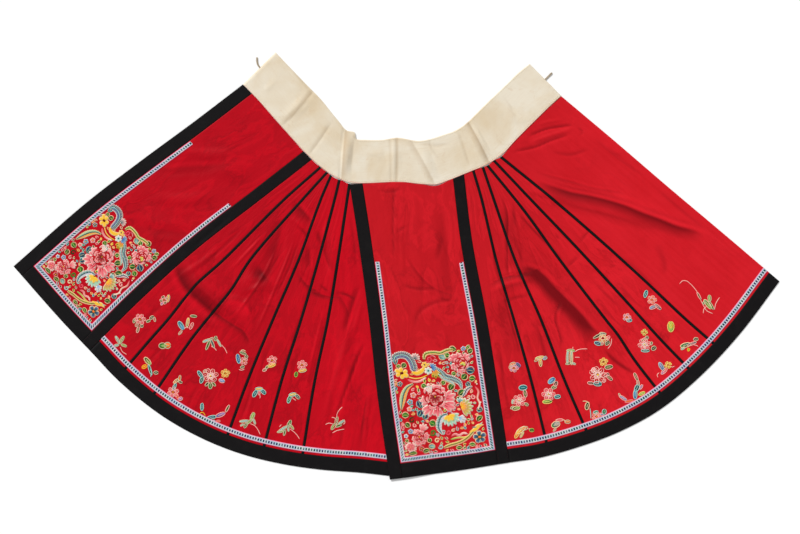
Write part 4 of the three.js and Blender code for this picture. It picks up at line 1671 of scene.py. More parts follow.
@dataclass(frozen=True)
class Waistband:
    """The bent band of doubled cotton, with its tucks.

    Attributes:
        lay: how the cotton lies.
        along: lines from its sewn to its free edge.
        across_spacing: millimetres between the points on each line.
        width: the width that shows.
        tucked: width of the cut over that width.
    """

    lay: Lay
    along: int = 310
    across_spacing: float = 3.9
    width: float = 125.0
    tucked: float = 1.03

    def build(self, finishes: Finishes) -> int:
        """Makes the band: straight lines from its sewn edge to its free edge, side by side.

        Args:
            finishes: the materials.

        Returns:
            How many pieces were made.
        """
        t = np.linspace(0, 1, self.along)
        share, heights = stops(self.width, self.across_spacing)
        sewn = WAIST.sewn.at_parameter(t)[:, None, :]
        free = WAIST.free.at_parameter(t)[:, None, :]
        xy = blend(sewn, free, share[None, :, None])
        run = run_along((sewn + free)[:, 0] / 2)
        ends = np.interp(np.minimum(run, run[-1] - run), RIM_OFFSETS, RIM_HEIGHTS)
        uv = np.stack(np.broadcast_arrays(run[:, None], self.width * share[None, :]), axis=-1) * MM
        wall = COTTON * np.minimum(heights[None, :], ends[:, None])
        cut = Cut(self.width * self.tucked, WAIST.sewn.length)
        Sewer(self.lay).sew("waistband", xy, uv, wall, finishes.cotton, Slot.COTTON, cut)
        return 1


# Width and height of the sheet that the embroidered square is drawn on, in its own units, and the height
# in millimetres that it fills on each half
SHEET_WIDTH = 82.0
SHEET_HEIGHT = 106.0
SQUARE_HEIGHTS = {"left": 280.0, "right": 305.0}

# Cross-sections of a stroke of silk, plain and with a rim, from its left edge to its right: places,
# heights and shares of the rim's colour
PLAIN_SECTION = np.array([[1.0, -0.35, 0], [0.7, 0.72, 0], [0, 1, 0], [-0.7, 0.72, 0],
                          [-1.0, -0.35, 0]])
RIMMED_SECTION = np.array([[1.0, -0.35, 1], [0.78, 0.64, 1], [0.62, 0.78, 0.12], [0, 1, 0],
                           [-0.62, 0.78, 0.12], [-0.78, 0.64, 1], [-1.0, -0.35, 1]])

# How deep the colour of a stroke's edges is at its root
RIM_DEPTH = 0.55

# How full a leaf and its outline are for its drawn half width
LEAF_FULLNESS = 1.45
OUTLINE_FULLNESS = 1.8

# Half the thickness of the line round small figures
FINE_THREAD = 1.15


class Form(Enum):
    """How wide a stroke of silk is along its length."""

    PETAL = "petal"
    LEAF = "leaf"
    CORD = "cord"
    DROP = "drop"

    def widths(self, count: int) -> Array:
        """Works out how wide the stroke is.

        Args:
            count: places along it.

        Returns:
            The share of the full width at each.
        """
        t = np.linspace(0, 1, count)
        if self is Form.PETAL:
            return np.sin(math.pi * (0.07 + 0.81 * t ** 1.25)) ** 0.75
        if self is Form.LEAF:
            return np.sin(math.pi * (0.05 + 0.92 * t)) ** 0.9
        if self is Form.DROP:
            return np.sin(math.pi * (0.12 + 0.76 * t)) ** 0.55
        return np.clip(1.25 - np.abs(2 * t - 1) ** 6, 0.3, 1)


@dataclass(frozen=True)
class PlanSpot:
    """The plan itself, on which scattered figures and stitches are placed in millimetres."""

    size: float = 1.0

    def plan(self, xy: Array) -> Array:
        """Returns points of the drawing, which are places on the plan already."""
        return xy


@dataclass(frozen=True)
class SquareSpot:
    """The field of a face panel inside its ribbon, where the large drawing is laid."""

    cloth: Cloth
    height: float

    @property
    def size(self) -> float:
        """Returns the millimetres that one unit of the drawing takes across."""
        return (self.cloth.width - 2 * FACE_RIBBON[1]) / SHEET_WIDTH

    def plan(self, xy: Array) -> Array:
        """Stretches the sheet evenly between the ribbon's legs and above its foot.

        Args:
            xy: points of the sheet.

        Returns:
            Their places on the plan.
        """
        inset = FACE_RIBBON[1]
        across = (inset + xy[..., 0] * self.size) / self.cloth.width
        up = FACE_HEM_WIDTH + SEAM_GAP + inset + xy[..., 1] / SHEET_HEIGHT * self.height
        return self.cloth.at(across, self.cloth.down_to(across, up))


class Needlework:
    """Strokes of silk gathered for one piece of embroidery."""

    def __init__(self, lay: Lay, base: float = SATIN) -> None:
        """Starts a piece of work.

        Args:
            lay: the lay of the cloth under it.
            base: thickness of that cloth.
        """
        self.lay = lay
        self.base = base
        self.spot: PlanSpot | SquareSpot = PlanSpot()
        self.drawn: list[Array] = []
        self.corners: list[Array] = []
        self.uv: list[Array] = []
        self.thread: list[Array] = []
        self.quads: list[Array] = []
        self.triangles: list[Array] = []
        self.count = 0

    def strokes(self, way: Array, half: Array | float, form: Form, root: Silk, tip: Silk,
                rim: Silk | None = None, crown: float = 0.9, level: float = 0.0) -> None:
        """Adds raised strokes of silk.

        A stroke is its cross-section carried along its line, as wide as its form says there. Its
        colour runs from root to tip along the middle. Its edges run from a deep root to the rim's
        colour, which closes round the tip too.

        Args:
            way: (strokes, places, 2) middle lines in the drawing.
            half: half the full width, one for all or one for each stroke.
            form: how the width changes.
            root: colour at the start.
            tip: colour at the end.
            rim: colour along the edges, the root's and tip's own if left out.
            crown: height of the middle above the base in millimetres.
            level: height of the base above the cloth in millimetres.
        """
        way = np.asarray(way, float)
        n, r, _ = way.shape
        self.drawn.append(way.reshape(-1, 2))
        plan = self.spot.plan(way)
        slope = np.gradient(plan, axis=1)
        slope = slope / np.maximum(np.linalg.norm(slope, axis=2, keepdims=True), 1e-9)
        left = np.stack([-slope[..., 1], slope[..., 0]], axis=-1)
        wide = np.broadcast_to(np.asarray(half, float).reshape(-1, 1), (n, 1))
        reach = wide * form.widths(r)[None, :] * self.spot.size
        places, heights, rims = (PLAIN_SECTION if rim is None else RIMMED_SECTION).T
        across = reach[..., None] * places
        xy = plan[:, :, None, :] + left[:, :, None, :] * across[..., None]
        sides = len(places)
        high = np.broadcast_to(level + crown * heights, (n, r, sides))
        run = np.zeros((n, r))
        run[:, 1:] = np.cumsum(np.linalg.norm(np.diff(plan, axis=1), axis=2), axis=1)
        t = np.linspace(0, 1, r)[None, :, None, None]
        middle = blend(linear(root.value), linear(tip.value), t)
        if rim is None:
            colour = middle
        else:
            pale = blend(RIM_DEPTH * linear(root.value), linear(rim.value), np.clip(3 * t, 0, 1))
            share = np.maximum(rims[None, None, :, None], t ** 9)
            colour = blend(middle, pale, share)
        ids = self.count + np.arange(n * r * sides).reshape(n, r, sides)
        turned = np.roll(ids, -1, axis=2)
        self.quads.append(np.stack([ids[:, :-1], turned[:, :-1], turned[:, 1:], ids[:, 1:]],
                                   axis=-1).reshape(-1, 4))
        fan = np.arange(1, sides - 1)
        corner = np.zeros_like(fan)
        for end, order in ((0, (corner, fan + 1, fan)), (-1, (corner, fan, fan + 1))):
            self.triangles.append(ids[:, end][:, np.stack(order, axis=-1)].reshape(-1, 3))
        self.corners.append(np.concatenate([xy, high[..., None]], axis=-1).reshape(-1, 3))
        along = np.broadcast_to(run[..., None], across.shape)
        self.uv.append((np.stack([across, along], axis=-1) * MM).reshape(-1, 2))
        self.thread.append(np.broadcast_to(colour, (n, r, sides, 3)).reshape(-1, 3))
        self.count += n * r * sides

    def rays(self, centre: Point, angles: Array, start: Array | float, end: Array | float,
             places: int = 6, bend: float = 0.0) -> Array:
        """Draws lines out from a centre.

        Args:
            centre: where they come from.
            angles: their directions in radians.
            start: distances where they start.
            end: distances where they end.
            places: points on each.
            bend: radians that they turn on the way, growing with the square of the distance.

        Returns:
            (rays, places, 2) points.
        """
        t = np.linspace(0, 1, places)[None, :]
        angle = np.asarray(angles, float)[:, None] + bend * t ** 2
        far = blend(np.asarray(start, float).reshape(-1, 1), np.asarray(end, float).reshape(-1, 1),
                    t)
        return np.asarray(centre) + far[..., None] * heading(angle)

    def line(self, points: Sequence[Point], half: float, form: Form, root: Silk, tip: Silk,
             rim: Silk | None = None, crown: float = 0.9, level: float = 0.0) -> None:
        """Adds one long stroke along a smooth line through the points.

        Args:
            points: points of the drawing.
            half: half the full width.
            form: how the width changes.
            root: colour at the start.
            tip: colour at the end.
            rim: colour along the edges, the root's and tip's own if left out.
            crown: height of the middle above the base in millimetres.
            level: height of the base above the cloth in millimetres.
        """
        smooth = SmoothLine(points)
        places = max(5, min(26, round(smooth.length / 1.6)))
        way = smooth.at(np.linspace(0, 1, places))[None]
        self.strokes(way, half, form, root, tip, rim, crown, level)

    def dots(self, places: Array, radius: float, silk: Silk, level: float = 0.0) -> None:
        """Adds knots of silk: short round strokes.

        Args:
            places: their middles.
            radius: half their width.
            silk: their colour.
            level: height above the cloth in millimetres.
        """
        points = np.asarray(places, float).reshape(-1, 1, 2)
        way = points + np.array([[-1, 0], [-0.4, 0], [0.4, 0], [1, 0]]) * radius
        self.strokes(way, radius, Form.DROP, silk, silk, None, 0.8, level)

    def stitch_row(self, points: Array, pitch: float, silk: Silk, half: float = 0.35) -> None:
        """Adds a row of running stitches.

        Args:
            points: (n, 2) line that they follow.
            pitch: distance between the starts of two stitches.
            silk: thread colour.
            half: half the thickness of the thread.
        """
        run = run_along(points)
        starts = np.arange(pitch / 2, run[-1] - pitch, pitch)
        where = starts[:, None] + np.array([0.0, 0.55]) * pitch
        way = np.stack([np.interp(where, run, column) for column in points.T], axis=-1)
        self.strokes(way, half, Form.CORD, silk, silk, None, 0.5)

    def finish(self, name: str, finish: bpy.types.Material) -> None:
        """Lays the strokes on the cloth and writes them as one piece.

        Args:
            name: the piece's name.
            finish: its material.
        """
        corners = np.concatenate(self.corners)
        xy = corners[:, :2]
        corners[:, 2] += self.lay.under(xy) + self.lay.face(xy) + self.base
        corners[:, 2] = np.maximum(corners[:, 2], LOWEST_SILK)
        MeshData(corners, np.concatenate(self.quads), np.concatenate(self.triangles),
                 np.concatenate(self.uv), None, np.concatenate(self.thread)).write(name, finish)


class Motif:
    """A figure of the embroidery, in units of the square's sheet or in millimetres on the plan."""

    def sew(self, work: Needlework) -> None:
        """Adds the figure's strokes."""
        raise NotImplementedError


@dataclass(frozen=True)
class Blossom(Motif):
    """A flower of a few round petals about an eye.

    Attributes:
        at: its middle.
        across: its width.
        silks: colours of the petals' roots, their tips, their rims and the eye.
        count: petals.
        turn: degrees.
        flat: height over width.
        level: millimetres above the cloth.
    """

    at: Point
    across: float
    silks: tuple[Silk, Silk, Silk, Silk]
    count: int = 5
    turn: float = 0.0
    flat: float = 1.0
    level: float = 0.2

    def sew(self, work: Needlework) -> None:
        """Adds the petals, squeezed to an oval, and a knot for the eye.

        Args:
            work: the piece of embroidery that takes the strokes.
        """
        root, tip, rim, eye = self.silks
        radius = self.across / 2
        turns = np.arange(self.count) * 2 * math.pi / self.count
        way = work.rays((0, 0), turns, 0.16 * radius, radius)
        squeezed = way * np.array([1.0, self.flat])
        turned = squeezed @ turning(self.turn) + np.asarray(self.at)
        half = radius * math.sin(math.pi / self.count) * 0.74 * (1 + self.flat) / 2
        work.strokes(turned, half, Form.PETAL, root, tip, rim, 1.0, self.level)
        work.dots([self.at], 0.22 * radius, eye, self.level + 0.5)


@dataclass(frozen=True)
class Peony(Motif):
    """A full peony: lobed petals outside, rows of crescents round a deep heart.

    Attributes:
        at: its middle.
        across: its width.
        heart: how far its heart lies from its middle.
        petals: petals in the outer ring.
        turn: degrees.
        deep: colour of the gaps between its petals.
        pale: colour of the outer petals.
        level: millimetres above the cloth.
    """

    at: Point
    across: float
    heart: Point = (0.0, 0.0)
    petals: int = 6
    turn: float = 0.0
    deep: Silk = Silk.CRIMSON
    pale: Silk = Silk.PINK
    level: float = 0.1

    def sew(self, work: Needlework) -> None:
        """Adds the outer petals with their lobes and veins, then the heart.

        Args:
            work: the piece of embroidery that takes the strokes.
        """
        radius = self.across / 2
        number = np.arange(self.petals)
        step = math.pi / self.petals
        angles = math.radians(self.turn) + 2 * step * (number + 0.14 * np.sin(2.3 * number))
        far = radius * (1 + 0.07 * np.cos(3.1 * number))
        way = work.rays(self.at, angles, 0.30 * radius, 0.88 * far, 7, 0.1)
        work.strokes(way, 0.66 * radius * math.sin(step), Form.PETAL, Silk.ROSE, self.pale,
                     Silk.WHITE, 1.0, self.level)
        lobes = (angles[:, None] + 0.08 + 0.58 * step * np.array([-1, 0, 1])).ravel()
        reach = (far[:, None] * np.array([0.93, 1.04, 0.95])).ravel()
        work.strokes(work.rays(self.at, lobes, 0.56 * reach, reach, 6), 0.27 * radius * math.sin(step),
                     Form.PETAL, Silk.ROSE, self.pale, Silk.WHITE, 0.8, self.level + 0.3)
        veins = (angles[:, None] + 0.06 + 0.28 * step * np.array([-1, 1])).ravel()
        work.strokes(work.rays(self.at, veins, 0.36 * radius, 0.72 * radius, 4), 0.022 * radius,
                     Form.LEAF, self.deep, self.deep, None, 0.5, self.level + 1.0)
        middle = np.array([self.at[0] + self.heart[0], self.at[1] + self.heart[1]])
        work.strokes(work.rays(tuple(middle), np.arange(6) * math.pi / 3, 0, 0.60 * radius, 4),
                     0.27 * radius, Form.DROP, self.deep, self.deep, None, 0.5, self.level + 0.9)
        t = np.linspace(-1, 1, 9)[None, :]
        for order, (count, ring, thick) in enumerate(((6, 0.56, 0.085), (5, 0.37, 0.07),
                                                      (3, 0.18, 0.06))):
            turns = math.radians(self.turn) + 0.7 * order + 2 * math.pi / count * np.arange(count)
            angle = turns[:, None] + 0.74 * math.pi / count * t
            out = radius * ring * (1 + 0.16 * (1 - t ** 2))
            crescents = middle + out[..., None] * heading(angle)
            work.strokes(crescents, thick * radius, Form.LEAF, Silk.PINK, Silk.PINK, Silk.WHITE,
                         0.8, self.level + 1.2 + 0.1 * order)
        work.dots([tuple(middle)], 0.07 * radius, Silk.GOLD, self.level + 1.6)


@dataclass(frozen=True)
class Leaf(Motif):
    """A leaf with a vein.

    Attributes:
        root: where it starts.
        tip: where it ends.
        half: half its width.
        silks: colours of its root, its tip and its rim.
        bow: how far its middle bows to the left.
        vein: colour of the vein.
        level: millimetres above the cloth.
    """

    root: Point
    tip: Point
    half: float
    silks: tuple[Silk, Silk, Silk]
    bow: float = 0.6
    vein: Silk = Silk.STRAW
    level: float = 0.1

    def sew(self, work: Needlework) -> None:
        """Adds the blade along its bowed line, a thin cord on it and a line down each side.

        Args:
            work: the piece of embroidery that takes the strokes.
        """
        (x0, y0), (x1, y1) = self.root, self.tip
        length = math.hypot(x1 - x0, y1 - y0)
        middle = ((x0 + x1) / 2 - (y1 - y0) / length * self.bow,
                  (y0 + y1) / 2 + (x1 - x0) / length * self.bow)
        way = (self.root, middle, self.tip)
        root, tip, rim = self.silks
        work.line(way, LEAF_FULLNESS * self.half, Form.LEAF, root, tip, None, 0.9, self.level)
        work.line(way, 0.2, Form.CORD, self.vein, self.vein, None, 0.4, self.level + 0.7)
        share = np.linspace(0, 1, 9)
        out = OUTLINE_FULLNESS * self.half * Form.LEAF.widths(9)
        smooth = SmoothLine(way)
        edges = np.stack([smooth.at(share, side * out) for side in (1, -1)])
        work.strokes(edges, 0.32, Form.CORD, rim, rim, None, 0.8, self.level + 0.2)


@dataclass(frozen=True)
class Plume(Motif):
    """A long feather: a spine with barbs slanting back on both sides.

    Attributes:
        way: points on its spine.
        half: half its greatest width.
        left: two colours that the barbs on the left take in turn.
        right: the same on the right.
        rim: colour of their rims and of the knots at their tips.
        spine: colour of the spine.
        form: how the width changes.
        spacing: distance between barbs.
        level: millimetres above the cloth.
    """

    way: tuple[Point, ...]
    half: float
    left: tuple[Silk, Silk]
    right: tuple[Silk, Silk]
    rim: Silk = Silk.CREAM
    spine: Silk = Silk.STRAW
    form: Form = Form.LEAF
    spacing: float = 1.6
    level: float = 0.3

    def sew(self, work: Needlework) -> None:
        """Adds the barbs on both sides with a knot at each tip, then the spine over their roots.

        Args:
            work: the piece of embroidery that takes the strokes.
        """
        smooth = SmoothLine(self.way)
        count = max(4, round(smooth.length / self.spacing))
        share = np.linspace(0.03, 0.97, count)
        along = np.interp(share, np.linspace(0, 1, 60), self.form.widths(60))
        t = np.linspace(0, 1, 4)[None, :]
        for side, (one, other) in ((1, self.left), (-1, self.right)):
            reach = self.half * along[:, None] * t
            back = 0.55 * reach * t / smooth.length
            way = smooth.at(np.clip(share[:, None] + back, 0, 1), side * reach)
            for first, root, tip in ((0, one, other), (1, other, one)):
                work.strokes(way[first::2], self.spacing * 0.56, Form.PETAL, root, tip, self.rim,
                             0.8, self.level)
            work.dots(way[:, -1], 0.4, self.rim, self.level + 0.3)
        work.line(self.way, 0.4, Form.CORD, self.spine, self.spine, None, 0.6, self.level + 0.7)


@dataclass(frozen=True)
class Fan(Motif):
    """Feathers or long petals spread from one point.

    Attributes:
        at: the point.
        turn: degrees of the middle feather.
        spread: degrees from the first to the last.
        radius: length of the longest.
        silks: colours of roots, tips and rims.
        count: feathers.
        eye: colour of a knot near each tip, or none.
        level: millimetres above the cloth.
    """

    at: Point
    turn: float
    spread: float
    radius: float
    silks: tuple[Silk, Silk, Silk]
    count: int = 6
    eye: Silk | None = None
    level: float = 0.3

    def sew(self, work: Needlework) -> None:
        """Adds the feathers, the middle one longest, and their eyes.

        Args:
            work: the piece of embroidery that takes the strokes.
        """
        share = np.linspace(-0.5, 0.5, self.count)
        angles = np.radians(self.turn + self.spread * share)
        far = self.radius * (1 - 0.5 * share ** 2)
        step = math.radians(self.spread) / max(1, self.count - 1)
        way = work.rays(self.at, angles, 0.08 * self.radius, far)
        work.strokes(way, self.radius * min(0.3, step * 0.41), Form.PETAL, *self.silks, 1.0,
                     self.level)
        if self.eye is not None:
            tips = work.rays(self.at, angles, 0, 0.8 * far, 2)[:, 1]
            work.dots(tips, 0.07 * self.radius, self.eye, self.level + 0.8)


@dataclass(frozen=True)
class Curl(Motif):
    """A thin line of silk rolled into a curl."""

    at: Point
    radius: float
    silk: Silk
    turn: float = 0.0
    turns: float = 1.1
    half: float = 0.32
    level: float = 0.2

    def sew(self, work: Needlework) -> None:
        """Adds the curl: its distance from the middle falls evenly to a fifth as it turns.

        Args:
            work: the piece of embroidery that takes the strokes.
        """
        t = np.linspace(0, 1, 14)
        angle = math.radians(self.turn) + 2 * math.pi * self.turns * t
        far = self.radius * (1 - 0.8 * t)
        way = np.asarray(self.at) + far[:, None] * heading(angle)
        work.strokes(way[None], self.half, Form.CORD, self.silk, self.silk, None, 0.7, self.level)


@dataclass(frozen=True)
class Thread(Motif):
    """A line of silk through a few points."""

    way: tuple[Point, ...]
    half: float
    silk: Silk
    tip: Silk | None = None
    rim: Silk | None = None
    form: Form = Form.CORD
    level: float = 0.3

    def sew(self, work: Needlework) -> None:
        """Adds the line."""
        work.line(self.way, self.half, self.form, self.silk, self.tip or self.silk, self.rim, 0.9,
                  self.level)


@dataclass(frozen=True)
class Knots(Motif):
    """Round knots of silk."""

    places: tuple[Point, ...]
    radius: float
    silk: Silk
    level: float = 0.9

    def sew(self, work: Needlework) -> None:
        """Adds the knots."""
        work.dots(self.places, self.radius, self.silk, self.level)


@dataclass(frozen=True)
class Filling(Motif):
    """Small outlined leaves in the gaps that larger figures leave.

    Attributes:
        spacing: distance between them.
        clear: least distance to any figure.
        seed: start of the random choice.
        silks: colours to choose from.
        lines: colours of their lines to choose from.
    """

    spacing: float = 4.0
    clear: float = 1.9
    seed: int = 7
    silks: tuple[Silk, ...] = (Silk.LEAF, Silk.ROSE, Silk.FOREST, Silk.PINK, Silk.TEAL, Silk.GOLD,
                               Silk.LEAF, Silk.MAGENTA)
    lines: tuple[Silk, ...] = (Silk.CREAM, Silk.SHELL, Silk.STRAW, Silk.MIST)

    def sew(self, work: Needlework) -> None:
        """Adds the leaves on a loose grid wherever no figure is near, each within an open curl.

        Args:
            work: the piece of embroidery that takes the strokes.
        """
        random = np.random.default_rng(self.seed)
        x, y = np.meshgrid(np.arange(1.8, SHEET_WIDTH - 1, self.spacing),
                           np.arange(1.8, SHEET_HEIGHT - 1, self.spacing))
        places = np.column_stack([x.ravel(), y.ravel()])
        places = places + random.uniform(-0.9, 0.9, places.shape)
        drawn = np.concatenate(work.drawn)
        gap = np.linalg.norm(places[:, None] - drawn[None], axis=2).min(axis=1)
        free = places[gap > self.clear]
        count = len(free)
        chosen = random.integers(len(self.silks), size=count)
        lined = random.integers(len(self.lines), size=count)
        turns = random.uniform(0, math.pi, count)
        sizes = random.uniform(1.5, 2.2, count)
        axis = heading(turns)
        side = np.stack([-axis[:, 1], axis[:, 0]], axis=-1)
        angle = np.linspace(0, 5.6, 10)[None, :, None]
        curl = sizes[:, None, None] * (axis[:, None] * np.cos(angle) + 0.62 * side[:, None]
                                       * np.sin(angle)) * (1 - 0.05 * angle)
        t = np.linspace(-0.7, 0.7, 5)[None, :, None]
        core = sizes[:, None, None] * axis[:, None] * t
        for number, silk in enumerate(self.silks):
            mine = chosen == number
            if mine.any():
                work.strokes(free[mine][:, None] + core[mine], 0.62, Form.DROP, silk, silk, None, 0.6,
                             0.1)
        for number, silk in enumerate(self.lines):
            mine = lined == number
            if mine.any():
                work.strokes(free[mine][:, None] + curl[mine], 0.36, Form.CORD, silk, silk, None,
                             0.8, 0.3)


GREEN = (Silk.FOREST, Silk.LEAF, Silk.CREAM)
FRESH = (Silk.LEAF, Silk.LEAF, Silk.CREAM)
SEA = (Silk.NAVY, Silk.TEAL, Silk.MIST)
MISTY = (Silk.TEAL, Silk.MIST, Silk.CREAM)

